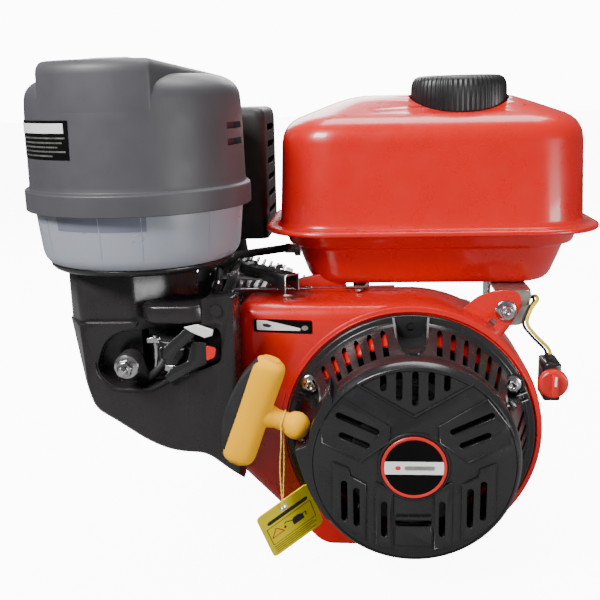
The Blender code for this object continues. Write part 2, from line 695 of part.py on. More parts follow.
def starter_reel():
    profile = [(8.4, -178), (48, -178), (48, -176), (35, -174), (35, -168), (48, -166), (48, -164),
               (24, -163), (24, -156), (8.4, -156)]
    return paint(turned("starter_reel", profile, (0, 0, CRANK_Z), (0, 1, 0), 24), CASTING)


def stem_way():
    return Vector((cos(STEM_TILT), 0, sin(STEM_TILT)))


def starter_handle():
    way = stem_way()
    up = Vector((-way.z, 0, way.x))
    half = GRIP_LENGTH / 2
    profile = [(0, -half), (7, -half), (11, -half + 4), (12, -half + 12), (GRIP_R, 0), (12, half - 12),
               (11, half - 4), (7, half), (0, half)]
    grip = turned("starter_handle", profile, GRIP, up, 16)
    join(grip, rod("stem", GRIP, GRIP + way * STEM_LENGTH, 7.5, 16, True))
    shape = bmesh.new()
    bmesh.ops.create_uvsphere(shape, u_segments=12, v_segments=8, radius=10.5 * MM)
    ball = from_bmesh("stem_ball", shape, True)
    ball.location = (GRIP + way * STEM_LENGTH) * MM
    join(grip, ball)
    slot = box("insert_slot", (-30, -7.3, -33), (-5.5, 7.3, 33), True)
    place = Matrix.Translation(GRIP * MM) @ Matrix.Rotation(-STEM_TILT, 4, "Y")
    slot.matrix_world = place @ Matrix.Translation(Vector((-17.75, 0, 0)) * MM)
    cut(grip, slot)
    return paint(grip, YELLOW)


def handle_insert():
    """The black rope stop let into the back of the grip."""
    half = 32
    outline = [(-5.8, half), (-16, half - 3), (-19.5, half - 14), (-20.5, 0), (-19.5, -half + 14),
               (-16, -half + 3), (-5.8, -half)]
    insert = plate("handle_insert", outline, -7, 7)
    place = Matrix.Translation(GRIP * MM) @ Matrix.Rotation(-STEM_TILT, 4, "Y")
    insert.matrix_world = place @ insert.matrix_world
    return paint(insert, RUBBER)


def starter_rope():
    start = GRIP + stem_way() * (STEM_LENGTH + 10.9)
    return paint(tube("starter_rope", [start, start + stem_way() * 8], 2.2), RUBBER)


TAG_HOLE = Vector((-97, -168, 64))
TAG_WIDE = Vector((0.80, 0.45, 0.42)).normalized()
TAG_FACE = TAG_WIDE.cross(Vector((-0.09, -0.45, 0.88))).normalized() * -1
TAG_UP = TAG_WIDE.cross(TAG_FACE)
STEM_REST = 22                  # where the string crosses the stem, from the middle of the grip


def tag_string():
    """A loop of string from the handle's stem down through the tag's hole."""
    stem = GRIP + stem_way() * STEM_REST
    low = TAG_HOLE
    knots = [stem + Vector((0, -8.4, 1)), stem + Vector((0, -8.8, -12)), low + Vector((-1, -7, 34)),
             low + Vector((0, -7.5, 8)), low + Vector((0, -3.5, 0)), low + Vector((0, 0, -0.6)),
             low + Vector((0, 2.2, 1.5)), low + Vector((0, 0.5, 10)), low + Vector((1, 4, 34)),
             stem + Vector((0, 8.8, -12)), stem + Vector((0, 8.4, 1))]
    return paint(tube("tag_string", smooth_route(knots), 0.6), CARD)


def oil_tag():
    tag = plate("oil_tag", rounded(-23, 25, -49, 8, 5, 2), -0.4, 0.4)
    hole = rod("tag_hole", (0, -3, 0), (0, 3, 0), 2.6, 12, True)
    turn = Matrix((TAG_WIDE, TAG_FACE, TAG_UP)).transposed().to_4x4()
    place = Matrix.Translation(TAG_HOLE * MM) @ turn
    tag.matrix_world = place @ tag.matrix_world
    hole.matrix_world = place @ hole.matrix_world
    cut(tag, hole)
    return paint(tag, CARD)


# Air cleaner and intake line

def air_bowl():
    profile = [(26, BOWL_Z0), (BOWL_R0 - 3, BOWL_Z0), (BOWL_R0, BOWL_Z0 + 3), (78, BOWL_Z0 + 9),
               (BOWL_R1, BOWL_Z1), (BOWL_R1 - 2.5, BOWL_Z1), (75.5, BOWL_Z0 + 9.5),
               (BOWL_R0 - 4, BOWL_Z0 + 3), (26, BOWL_Z0 + 3)]
    return paint(turned("air_bowl", profile, (AIR_X, AIR_Y, 0), (0, 0, 1), 32), MILKY)


def air_cap():
    profile = [(RIM_R - 2.5, RIM_Z0), (RIM_R, RIM_Z0), (RIM_R, RIM_Z1), (CAP_R + 1, RIM_Z1 + 1),
               (CAP_R - 1, CAP_SHOULDER - 14), (CAP_R - 6, CAP_SHOULDER - 4), (CAP_R - 14, CAP_SHOULDER),
               (0, CAP_SHOULDER), (0, CAP_SHOULDER - 3), (CAP_R - 15, CAP_SHOULDER - 3),
               (CAP_R - 8, CAP_SHOULDER - 6), (CAP_R - 3.5, CAP_SHOULDER - 15),
               (CAP_R - 1.5, RIM_Z1 - 1), (RIM_R - 2.5, RIM_Z1 - 2)]
    cap = turned("air_cap", profile, (AIR_X, AIR_Y, 0), (0, 0, 1), 32)
    ridge = [(AIR_X - 78, CAP_SHOULDER - 2), (AIR_X - 74, CAP_TOP - 6), (AIR_X - 68, CAP_TOP),
             (AIR_X + 18, CAP_TOP), (AIR_X + 62, CAP_SHOULDER + 4), (AIR_X + 68, CAP_SHOULDER - 2)]
    block = plate("cap_ridge", ridge, AIR_Y - 60, AIR_Y + 60, helper=True)
    round_off = turned("ridge_round", [(0, 360), (76, 360), (72, 398), (66, 402), (0, 402)],
                       (AIR_X, AIR_Y, 0), (0, 0, 1), 32, True)
    boolean(block, round_off, "INTERSECT")
    join(cap, block)
    return paint(cap, CAP_GREY)


def air_filter():
    profile = [(30, 247), (58, 247), (58, 352), (30, 352)]
    return paint(turned("air_filter", profile, (AIR_X, AIR_Y, 0), (0, 0, 1), 20), PAPER)


def air_duct():
    outline = [(-251, 128), (-248, 122), (-208, 103), (-142, 71), (-138, 73), (-138, 203), (-141, 206),
               (-246, 206), (-251, 201)]
    duct = plate("air_duct", outline, DUCT_FRONT, DUCT_BACK)
    join(duct, box("column", (-250, -150, 195), (-182, DUCT_BACK, 240.9), True, bevel=8, segments=2))
    cut(duct, box("lever_recess", (-204, -165, 156), (-143, -122, 201), True, bevel=4))
    cut(duct, box("duct_space", (-246, -118.5, 128), (-143, -101, 199), True))
    cut(duct, box("column_space", (-245, -145, 203), (-187, -101, 242), True))
    cut(duct, box("column_way", (-245, -118.5, 190), (-187, -101, 210), True))
    port = on_cylinder(PORT_S)
    cut(duct, rod("duct_port", (port.x, -110, port.z), (port.x, -90, port.z), 11, 16, True))
    join(duct, rod("stud_boss", (-212, -150, 174), (-212, -162, 174), 9, 16, True))
    return paint(duct, DUCT_GREY)


def duct_nut():
    profile = [(0, 0), (9.5, 0), (9.5, 1.5), (7, 2), (7, 9), (4, 9.5), (4, 16), (0, 16)]
    return paint(turned("duct_nut", profile, (-212, -162 - GAP, 174), (0, -1, 0), 12), STEEL)


def insulator():
    port = on_cylinder(PORT_S)
    block = box("insulator", (port.x - 18, -56.7, port.z - 22), (port.x + 14.5, -47 - GAP, port.z + 22))
    cut(block, rod("insulator_way", (port.x, -60, port.z), (port.x, -40, port.z), 9, 16, True))
    return paint(block, DARK)


def carburettor():
    port = on_cylinder(PORT_S)
    body = box("carburettor", (port.x - 16, -97, port.z - 18), (port.x + 14, -57, port.z + 18), bevel=3)
    join(body, box("carb_flange", (port.x - 20, -62, port.z - 22), (port.x + 14.8, -57, port.z + 22), True))
    join(body, rod("throttle_boss", (port.x, -70, port.z + 10), (port.x, -70, port.z + 26), 6, 12, True))
    cut(body, rod("venturi", (port.x, -99, port.z), (port.x, -50, port.z), 9, 20, True))
    return paint(body, CASTING)


def float_bowl():
    port = on_cylinder(PORT_S)
    top = port.z - 18 - GAP
    profile = [(0, top - 26), (4, top - 26), (4, top - 23), (11, top - 22), (14.5, top - 18),
               (14.5, top), (0, top)]
    return paint(turned("float_bowl", profile, (port.x - 1, -79, 0), (0, 0, 1), 20), ZINC)


def lever_axle(name, place, radius):
    return rod(name, (place[0], LEVER_Y, place[1]), (place[0], -122 - GAP, place[1]), radius, 12, True)


def choke_lever():
    arm = [(-182, 181), (-178, 179), (-150, 176), (-146, 179), (-147, 184), (-168, 190),
           (-180, 190), (-184, 186)]
    lever = plate("choke_lever", arm, -162, -158.6)
    join(lever, lever_axle("choke_axle", CHOKE, 3))
    return paint(lever, ZINC)


def fuel_valve_lever():
    arm = [(-185, 165), (-180, 160), (-156, 162), (-152, 165), (-155, 169), (-180, 171)]
    lever = plate("fuel_valve_lever", arm, -163, -158.6)
    join(lever, lever_axle("valve_axle", FUEL_VALVE, 4))
    return paint(lever, DARK)


# Fuel tank

def tank_ring(z, inset, radius):
    outline = rounded(TANK_X0 + inset, TANK_X1 - inset, TANK_Y0 + inset, TANK_Y1 - inset, radius)
    return [(x, y, z) for x, y in outline]


def fuel_tank():
    corner = TANK_CORNER
    tank = loft("fuel_tank", [
        tank_ring(PAN_Z, 26, corner - 16), tank_ring(PAN_Z + 5, 21, corner - 14),
        tank_ring(SEAM_Z - 16, 13, corner - 8), tank_ring(SEAM_Z - 14, 7, corner - 4),
        tank_ring(SEAM_Z - 3, 4, corner - 2), tank_ring(SEAM_Z - 2, -FLANGE, corner + 10),
        tank_ring(SEAM_Z + 2, -FLANGE, corner + 10), tank_ring(SEAM_Z + 3, 0, corner),
        tank_ring(TANK_TOP - 18, 3, corner), tank_ring(TANK_TOP - 5, 8, corner - 4),
        tank_ring(TANK_TOP, 20, corner - 12),
    ])
    space = loft("tank_space", [
        tank_ring(PAN_Z + 2, 30, corner - 18), tank_ring(PAN_Z + 6, 24, corner - 14),
        tank_ring(SEAM_Z - 14, 15.5, corner - 10), tank_ring(SEAM_Z - 11, 9.5, corner - 5),
        tank_ring(SEAM_Z, 6, corner - 3), tank_ring(SEAM_Z + 3, 2.5, corner - 2),
        tank_ring(TANK_TOP - 19, 5.5, corner - 2), tank_ring(TANK_TOP - 7.5, 10.5, corner - 6),
        tank_ring(TANK_TOP - 2.5, 22, corner - 14),
    ], True)
    cut(tank, space)
    neck, up = Vector((CAP_X, CAP_Y, TANK_TOP)), Vector((0, 0, 1))
    join(tank, rod("filler_neck", neck - up * 2, neck + up * 14, 26, 24, True))
    cut(tank, rod("filler_mouth", neck - up * 12, neck + up * 15, 23, 24, True))
    return paint(tank, RED)


def fuel_cap():
    top, foot, r = TANK_TOP + 30, TANK_TOP + 2, FUEL_CAP_R
    profile = [(0, top), (r - 9, top), (r - 3, top - 3), (r, top - 8), (r, foot), (27, foot), (27, top - 9),
               (0, top - 9)]
    return paint(turned("fuel_cap", profile, (CAP_X, CAP_Y, 0), (0, 0, 1), 24), DARK)


def fuel_hose():
    port = on_cylinder(PORT_S)
    knots = [(-93.4, 5, 232), (-104, 4, 232.5), (-120, -2, 231.5), (-136, -12, 231), (-149, -28, 231.5),
             (-157, -48, 226), (-158, -68, 214), (-160, -84, 204), (-160.5, -86, port.z + 18 + GAP)]
    return paint(tube("fuel_hose", smooth_route(knots), 3.6), RUBBER)


def tank_bracket_right():
    bracket = box("tank_bracket_right", (68, -96, 211.5), (96, -18, 214.7))
    join(bracket, box("right_tab", (68, -96, 188), (96, -93, 213), True))
    join(bracket, box("right_leg", (68, -50, 170.3), (71, -18, 213), True))
    cut(bracket, rod("tab_hole", (80, -100, 200), (80, -90, 200), 3.4, 12, True))
    return paint(bracket, ZINC)


def tank_bracket_left():
    bracket = box("tank_bracket_left", (-74, -30, 211.5), (-42, 10, 214.7))
    join(bracket, box("left_leg", (-45, -30, 184), (-42, 10, 213), True))
    return paint(bracket, BLACK_METAL)


def tank_bolt():
    profile = [(0, 5), (4, 5), (5, 4), (5, 1.2), (8, 1.2), (8, 0), (3, 0), (3, -10), (0, -10)]
    return paint(turned("tank_bolt", profile, (80, -96 - GAP, 200), (0, -1, 0), 12), STEEL)


# Exhaust

GUARD_LOW, GUARD_HIGH = Vector((-222, -8, 243)), Vector((-121, 82, 358))


def exhaust_pipe():
    port = on_cylinder(PORT_S)
    knots = [(port.x, 58.2, port.z), (port.x, 66, port.z), (port.x - 1, 74, port.z + 5),
             (port.x - 3, 77, port.z + 20), (port.x - 8, 70, port.z + 44), (port.x - 9, 66, 251.5)]
    pipe = tube("exhaust_pipe", smooth_route(knots), 11, 2)
    return paint(pipe, BLACK_METAL)


def muffler():
    body = box("muffler", (-213, 3, 253), (-131, 73, 348), bevel=10, segments=2)
    cut(body, box("muffler_space", (-211, 5, 255), (-133, 71, 346), True, bevel=8))
    cut(body, rod("outlet", (-196, 60, 330), (-196, 80, 330), 7, 12, True))
    return paint(body, BLACK_METAL)


def muffler_guard():
    guard = box("muffler_guard", GUARD_LOW, GUARD_HIGH, bevel=7, segments=2)
    inset = Vector((1.8, 1.8, 0))
    low, high = GUARD_LOW + inset - Vector((0, 0, 12)), GUARD_HIGH - inset - Vector((0, 0, 1.8))
    cut(guard, box("guard_space", low, high, True, bevel=6))
    for i in range(4):
        z = 268 + 22 * i
        cut(guard, box(f"guard_slot_{i}", (-205, 70, z), (-140, 90, z + 7), True))
        cut(guard, box(f"guard_side_slot_{i}", (-125, 12, z), (-115, 62, z + 7), True))
    return paint(guard, BLACK_METAL)


# Controls

LEVER = Vector((-130, -62, 231))
LEVER_WAY = Vector((38, -42, 0)).normalized()
GOVERNOR = Vector((-36, -40, 0))
GOVERNOR_TIP = Vector((-40, -77, 0))
LINK_Z = 214.4
LINK_START = Vector((-40, -77, LINK_Z))
LINK_END = Vector((-139, -85, LINK_Z))
LINK_WAY = (LINK_END - LINK_START).normalized()


def control_bracket():
    bracket = box("control_bracket", (-140, -78, 220.5), (-104, -46, 222.5))
    join(bracket, box("control_leg", (-118, -47, 212), (-104, -44.5, 222.5), True))
    join(bracket, box("control_stop", (-140, -78, 220.5), (-138, -70, 230), True))
    return paint(bracket, ZINC)


def throttle_lever():
    arm = box("throttle_lever", (-7, -7, -7.5), (57, 7, 0))
    channel = box("lever_channel", (-9, -5.2, -9), (58, 5.2, -1.8), True)
    turn = Matrix.Rotation(atan2(LEVER_WAY.y, LEVER_WAY.x), 4, "Z")
    for piece, middle in ((arm, (25, 0, -3.75)), (channel, (24.5, 0, -5.4))):
        place = Matrix.Translation(LEVER * MM) @ turn
        piece.matrix_world = place @ Matrix.Translation(Vector(middle) * MM)
    cut(arm, channel)
    join(arm, rod("lever_pivot", (LEVER.x, LEVER.y, 222.9), (LEVER.x, LEVER.y, 234), 4.5, 12, True))
    return paint(arm, BLACK_METAL)


def governor_arm():
    way = (GOVERNOR_TIP - GOVERNOR).normalized()
    side = Vector((-way.y, way.x, 0))
    a, b = GOVERNOR - way * 8, GOVERNOR_TIP + way * 4
    outline = [(p.x, p.y) for p in (a - side * 6, a + side * 6, b + side * 3.5, b - side * 3.5)]
    arm = plate("governor_arm", outline, 210.8, 212.8, facing="Z")
    foot, top = GOVERNOR + Vector((0, 0, 170.3)), GOVERNOR + Vector((0, 0, 214.4))
    join(arm, rod("governor_shaft", foot, top, 4, 12, True))
    return paint(arm, ZINC)


def governor_rod():
    """The link from the governor's arm to the carburettor."""
    knots = [LINK_START - LINK_WAY * 30, LINK_START, LINK_END, LINK_END + Vector((-4, -0.5, -1.4)),
             LINK_END + Vector((-5, -0.6, -5))]
    return paint(tube("governor_rod", knots, 0.9), STEEL)


def governor_spring():
    """The fine spring around the link, as the sleeve that its coils fill."""
    profile = [(1.3, 0), (2.4, 0), (2.4, 30), (1.3, 30)]
    start = LINK_START + LINK_WAY * 38
    return paint(turned("governor_spring", profile, start, LINK_WAY, 12), STEEL)


SWITCH_LOW, SWITCH_HIGH = Vector((104.5, -112, 129)), Vector((118, -86, 160))


def switch_base():
    base = box("switch_base", SWITCH_LOW, SWITCH_HIGH, bevel=2)
    join(base, box("switch_tongue", (104.3, -108, 135), (108, -90, 154), True))
    return paint(base, DARK)


KNOB = Vector((111, -112 - GAP, 145))


def switch_knob():
    knob = rod("switch_knob", KNOB, KNOB + Vector((0, -4, 0)), 9.5, 24)
    low, high = KNOB + Vector((-2.6, -10, -9)), KNOB + Vector((2.6, -3, 9))
    join(knob, box("knob_bar", low, high, True, bevel=1.2))
    return paint(knob, RED)


def switch_lead():
    knots = [(111, -98, 160.6), (110, -99, 168), (99, -104, 180), (91, -106, 191), (94, -104, 202),
             (101, -92, 207), (102, -66, 203), (94, -46, 188), (84, -36, 168), (78, -34, 154),
             (72.7, -34, 151)]
    return paint(tube("switch_lead", smooth_route(knots), 1.4), YELLOW)


def oil_cap():
    profile = [(0, -9), (8.6, -9), (8.6, 0.5), (14, 0.5), (15, 2), (15, 8), (11, 8), (10, 20),
               (7, 22), (0, 22)]
    return paint(turned("oil_cap", profile, (CASE_X, 20, 52), (1, 0, 0), 16), DARK)


def drain_bolt():
    profile = [(0, -8), (4.8, -8), (4.8, 0.4), (10, 0.4), (10, 2), (8, 2), (8, 9), (0, 9)]
    return paint(turned("drain_bolt", profile, (CASE_X, 20, 25), (1, 0, 0), 12), STEEL)


def build():
    crankcase()
    side_cover()
    cylinder_head()
    rocker_cover()
    spark_plug()
    spark_plug_cap()
    ignition_lead()
    ignition_coil()
    main_bearing("main_bearing_front", -56)
    main_bearing("main_bearing_rear", 54.5)
    piston()
    piston_pin()
    connecting_rod()
    pivot("crank_axis", CRANK, crankshaft(), flywheel(), cooling_fan(), starter_cup(), flywheel_nut())
    pivot("cam_axis", CAM, camshaft())
    fan_cover()
    recoil_housing()
    recoil_emblem()
    for number, angle in enumerate(RECOIL_BOLT_ANGLES, 1):
        recoil_bolt(number, angle)
    pivot("reel_axis", (0, -170, CRANK_Z), starter_reel())
    pivot("handle_rest", GRIP, starter_handle(), handle_insert(), starter_rope())
    pivot("tag_pivot", GRIP + stem_way() * STEM_REST, oil_tag(), tag_string())
    air_bowl()
    air_cap()
    air_filter()
    air_duct()
    duct_nut()
    insulator()
    carburettor()
    float_bowl()
    pivot("choke_axis", (CHOKE[0], LEVER_Y, CHOKE[1]), choke_lever())
    pivot("fuel_valve_axis", (FUEL_VALVE[0], LEVER_Y, FUEL_VALVE[1]), fuel_valve_lever())
    fuel_tank()
    pivot("fuel_cap_axis", (CAP_X, CAP_Y, TANK_TOP), fuel_cap())
    fuel_hose()
    tank_bracket_right()
    tank_bracket_left()
    tank_bolt()
    exhaust_pipe()
    muffler()
    muffler_guard()
    control_bracket()
    pivot("throttle_axis", LEVER, throttle_lever())
    pivot("governor_axis", GOVERNOR + Vector((0, 0, 212)), governor_arm())
    pivot("link_rest", LINK_START, governor_rod(), governor_spring())
    switch_base()
    pivot("switch_axis", KNOB, switch_knob())
    switch_lead()
    pivot("oil_cap_axis", (CASE_X, 20, 52), oil_cap())
    drain_bolt()


build()
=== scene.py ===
"""Looks of a small gasoline engine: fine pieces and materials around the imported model.

Lengths are in millimetres until a mesh is made, in the row frame: +X away from the cylinder,
+Y towards the output shaft, +Z up, with the crank axis at x 0 and z CRANK_Z.
"""

import json
from math import atan2, cos, pi, radians, sin, sqrt

import bmesh
import bpy
from mathutils import Matrix, Vector

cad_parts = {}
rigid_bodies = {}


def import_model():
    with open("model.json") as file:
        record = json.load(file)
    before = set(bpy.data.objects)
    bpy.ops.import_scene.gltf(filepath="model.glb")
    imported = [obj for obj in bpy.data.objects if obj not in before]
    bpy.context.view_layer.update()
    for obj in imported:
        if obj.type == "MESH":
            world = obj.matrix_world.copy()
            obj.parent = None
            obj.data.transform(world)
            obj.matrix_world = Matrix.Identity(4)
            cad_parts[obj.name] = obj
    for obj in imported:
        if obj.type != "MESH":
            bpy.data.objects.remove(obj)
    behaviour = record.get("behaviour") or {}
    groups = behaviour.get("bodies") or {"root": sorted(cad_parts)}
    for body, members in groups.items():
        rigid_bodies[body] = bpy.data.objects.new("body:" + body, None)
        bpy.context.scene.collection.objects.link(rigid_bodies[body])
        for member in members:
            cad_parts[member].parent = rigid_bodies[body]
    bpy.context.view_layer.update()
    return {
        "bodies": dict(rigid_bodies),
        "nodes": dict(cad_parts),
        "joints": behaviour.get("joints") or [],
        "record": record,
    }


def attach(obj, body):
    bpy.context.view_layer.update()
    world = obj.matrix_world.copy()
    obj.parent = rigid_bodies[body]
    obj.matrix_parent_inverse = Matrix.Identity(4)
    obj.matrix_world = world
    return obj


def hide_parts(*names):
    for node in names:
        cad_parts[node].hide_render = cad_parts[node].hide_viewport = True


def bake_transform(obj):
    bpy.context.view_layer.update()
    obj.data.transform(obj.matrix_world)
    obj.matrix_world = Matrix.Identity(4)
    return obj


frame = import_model()

MM = 0.001
ROOT = "engine"
CRANK_Z = 106
UP = Vector((0, 0, 1))
BACK = Vector((0, 1, 0))
FORWARD = -BACK
RIGHT = Vector((1, 0, 0))
CRANK_AT = Vector((0, 0, CRANK_Z))
GRIP = Vector((-117, -167, 141.5))
STEM = Vector((cos(radians(-20)), 0, sin(radians(-20))))
GRIP_UP = Vector((-STEM.z, 0, STEM.x))


# Mesh helpers: each returns an object whose vertices are in the row frame

def shown(name, shape):
    """An object from a bmesh in millimetres."""
    bmesh.ops.scale(shape, vec=(MM, MM, MM), verts=shape.verts)
    bmesh.ops.recalc_face_normals(shape, faces=shape.faces)
    mesh = bpy.data.meshes.new(name)
    shape.to_mesh(mesh)
    shape.free()
    obj = bpy.data.objects.new(name, mesh)
    bpy.context.scene.collection.objects.link(obj)
    return obj


def facing(direction, up=UP):
    """A rotation that turns +Z to this direction."""
    way = Vector(direction).normalized()
    side = up.cross(way)
    if side.length < 1e-4:
        side = RIGHT.cross(way) if abs(way.x) < 0.9 else BACK.cross(way)
    side.normalize()
    return Matrix((side, way.cross(side), way)).transposed().to_4x4()


def placed(start, direction=UP, up=UP):
    return Matrix.Translation(Vector(start)) @ facing(direction, up)


def loft_mesh(shape, rings, closed_ends=True, loop=False):
    """Skins rings of equally many points. A loop joins the last ring to the first."""
    rows = [[shape.verts.new(p) for p in ring] for ring in rings]
    pairs = list(zip(rows, rows[1:])) + ([(rows[-1], rows[0])] if loop else [])
    for a, b in pairs:
        for i in range(len(a)):
            j = (i + 1) % len(a)
            shape.faces.new((a[i], a[j], b[j], b[i]))
    if closed_ends and not loop:
        shape.faces.new(list(reversed(rows[0])))
        shape.faces.new(rows[-1])


def loft(name, rings, closed_ends=True):
    shape = bmesh.new()
    loft_mesh(shape, rings, closed_ends)
    return shown(name, shape)


def lathe(name, profile, start=(0, 0, 0), direction=UP, steps=96, closed=False):
    """Turns a profile of (radius, height) about an axis. A closed profile makes a ring."""
    shape = bmesh.new()
    place = placed(start, direction)
    rows = []
    for r, h in profile:
        if r < 1e-6:
            rows.append([shape.verts.new(place @ Vector((0, 0, h)))])
            continue
        turn = [2 * pi * i / steps for i in range(steps)]
        rows.append([shape.verts.new(place @ Vector((r * cos(t), r * sin(t), h))) for t in turn])
    pairs = list(zip(rows, rows[1:])) + ([(rows[-1], rows[0])] if closed else [])
    for a, b in pairs:
        for i in range(steps):
            j = (i + 1) % steps
            corners = [a[i % len(a)], a[j % len(a)], b[j % len(b)], b[i % len(b)]]
            corners = [v for n, v in enumerate(corners) if v not in corners[:n]]
            if len(corners) > 2:
                shape.faces.new(corners)
    return shown(name, shape)


def rounded_profile(points, radius, steps=5):
    """A profile with its inner corners rounded. A point may carry its own radius."""
    out = [Vector(points[0][:2])]
    for before, here, after in zip(points, points[1:], points[2:]):
        r = here[2] if len(here) > 2 else radius
        a, b, c = Vector(before[:2]), Vector(here[:2]), Vector(after[:2])
        out += fillet(a, b, c, r, steps)
    out.append(Vector(points[-1][:2]))
    return [tuple(p) for p in out]


def fillet(a, b, c, radius, steps):
    """The points of a rounded corner at b between a and c."""
    p, q = (a - b), (c - b)
    if radius <= 0 or p.length < 1e-6 or q.length < 1e-6:
        return [b]
    reach = min(radius, p.length * 0.49, q.length * 0.49)
    start, end = b + p.normalized() * reach, b + q.normalized() * reach
    out = []
    for i in range(steps + 1):
        t = i / steps
        out.append(start * (1 - t) ** 2 + b * 2 * t * (1 - t) + end * t ** 2)
    return out


def rounded_outline(points, radius, steps=5):
    """A closed outline with its corners rounded. A point may carry its own radius."""
    out = []
    n = len(points)
    for i in range(n):
        here = points[i]
        r = here[2] if len(here) > 2 else radius
        before, after = points[i - 1], points[(i + 1) % n]
        out += fillet(Vector(before[:2]), Vector(here[:2]), Vector(after[:2]), r, steps)
    return [tuple(p) for p in out]


def arc_points(radius, start, end, steps, x=0.0, y=0.0):
    """Points on an arc about a point, from one angle in degrees to another."""
    turn = [radians(start + (end - start) * i / steps) for i in range(steps + 1)]
    return [(x + radius * cos(t), y + radius * sin(t)) for t in turn]


def on_plane(outline, level, plane):
    if plane == "Y":
        return [Vector((a, level, b)) for a, b in outline]
    if plane == "X":
        return [Vector((level, a, b)) for a, b in outline]
    return [Vector((a, b, level)) for a, b in outline]


def prism(name, outline, low, high, plane="Y"):
    """A flat outline given a thickness along the plane's axis."""
    return loft(name, [on_plane(outline, low, plane), on_plane(outline, high, plane)])


def slab(name, points, radius, low, high, plane="Y", steps=5):
    """A prism with rounded corners."""
    return prism(name, rounded_outline(points, radius, steps), low, high, plane)


def turned(name, points, radius, start, direction, around=96, steps=5):
    """A lathe piece with rounded edges."""
    return lathe(name, rounded_profile(points, radius, steps), start, direction, around)


def block(name, low, high):
    outline = [(low[0], low[1]), (high[0], low[1]), (high[0], high[1]), (low[0], high[1])]
    return prism(name, outline, low[2], high[2], "Z")


def rod(name, start, end, radius, steps=32, end_radius=None):
    start, end = Vector(start), Vector(end)
    last = radius if end_radius is None else end_radius
    height = (end - start).length
    return lathe(name, [(0, 0), (radius, 0), (last, height), (0, height)], start, end - start, steps)


def route(knots, per_span=8):
    """A smooth line through knots."""
    knots = [Vector(k) for k in knots]
    line = [knots[0] * 2 - knots[1]] + knots + [knots[-1] * 2 - knots[-2]]
    out = []
    for a, b, c, d in zip(line, line[1:], line[2:], line[3:]):
        for i in range(per_span):
            t = i / per_span
            out.append(0.5 * (2 * b + (c - a) * t + (2 * a - 5 * b + 4 * c - d) * t ** 2
                + (3 * b - a - 3 * c + d) * t ** 3))
    return out + [knots[-1]]


def tube(name, points, radius, steps=12, flat=1.0):
    """A tube along points, with a frame carried along it. Radius may be a list."""
    points = [Vector(p) for p in points]
    radii = radius if isinstance(radius, list) else [radius] * len(points)
    ways = [(b - a).normalized() for a, b in zip(points, points[1:])]
    ways = [ways[0]] + [(a + b).normalized() for a, b in zip(ways, ways[1:])] + [ways[-1]]
    side = ways[0].orthogonal().normalized()
    rings = []
    for p, way, r in zip(points, ways, radii):
        side = (side - way * side.dot(way)).normalized()
        other = way.cross(side)
        rings.append([p + side * r * cos(2 * pi * i / steps) + other * r * flat * sin(2 * pi * i / steps)
            for i in range(steps)])
    return loft(name, rings)


def coil_line(start, end, radius, turns, per_turn=16):
    """The line of a coil spring between two points."""
    start, end = Vector(start), Vector(end)
    place = placed(start, end - start)
    height, count = (end - start).length, int(turns * per_turn)
    return [place @ Vector((radius * cos(2 * pi * i / per_turn), radius * sin(2 * pi * i / per_turn),
        height * i / count)) for i in range(count + 1)]


def evaluated(obj):
    """Applies the object's modifiers."""
    graph = bpy.context.evaluated_depsgraph_get()
    mesh = bpy.data.meshes.new_from_object(obj.evaluated_get(graph))
    obj.modifiers.clear()
    obj.data = mesh
    return obj


def boolean(obj, others, operation):
    for other in others:
        change = obj.modifiers.new("boolean", "BOOLEAN")
        change.operation = operation
        change.object = other
        change.solver = "EXACT"
    evaluated(obj)
    for other in others:
        bpy.data.objects.remove(other)
    return obj


def cut(obj, *others):
    return boolean(obj, others, "DIFFERENCE")


def unite(obj, *others):
    return boolean(obj, others, "UNION")


def together(name, *objs):
    """One object from several, without a Boolean."""
    shape = bmesh.new()
    for obj in objs:
        shape.from_mesh(evaluated(obj).data)
        bpy.data.objects.remove(obj)
    mesh = bpy.data.meshes.new(name)
    shape.to_mesh(mesh)
    shape.free()
    joined = bpy.data.objects.new(name, mesh)
    bpy.context.scene.collection.objects.link(joined)
    return joined


def moved(obj, matrix):
    """Moves the mesh itself. The matrix is in millimetres."""
    place = matrix.copy()
    place.translation = place.translation * MM
    obj.data.transform(place)
    return obj


def soft_edges(obj, width, segments=3, angle=32):
    """Rounds the edges sharper than an angle, so that they catch light."""
    bevel = obj.modifiers.new("edges", "BEVEL")
    bevel.width = width * MM
    bevel.segments = segments
    bevel.limit_method = "ANGLE"
    bevel.angle_limit = radians(angle)
    bevel.harden_normals = True
    bevel.use_clamp_overlap = True
    return obj


def smooth(obj, angle=38):
    obj.data.shade_smooth()
    obj.data.set_sharp_from_angle(angle=radians(angle))
    return obj


def show(obj, material, body=ROOT, stands_for=(), angle=38):
    """Finishes a piece: its material, its shading and the body that it rides on."""
    obj.data.materials.clear()
    obj.data.materials.append(material)
    smooth(obj, angle)
    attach(obj, body)
    if stands_for:
        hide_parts(*stands_for)
    return obj


# Materials

def add_node(tree, kind, **values):
    """A shader node with inputs set by name, with _ for a space."""
    item = tree.nodes.new(kind)
    for key, value in values.items():
        item.inputs[key.replace("_", " ")].default_value = value
    return item


def noise_node(tree, coordinates, scale, detail=3.0, stretch=None):
    source = coordinates
    if stretch:
        mapping = tree.nodes.new("ShaderNodeMapping")
        mapping.inputs["Scale"].default_value = stretch
        tree.links.new(coordinates, mapping.inputs["Vector"])
        source = mapping.outputs["Vector"]
    item = add_node(tree, "ShaderNodeTexNoise", Scale=scale, Detail=detail, Roughness=0.55)
    tree.links.new(source, item.inputs["Vector"])
    return item.outputs["Fac"]


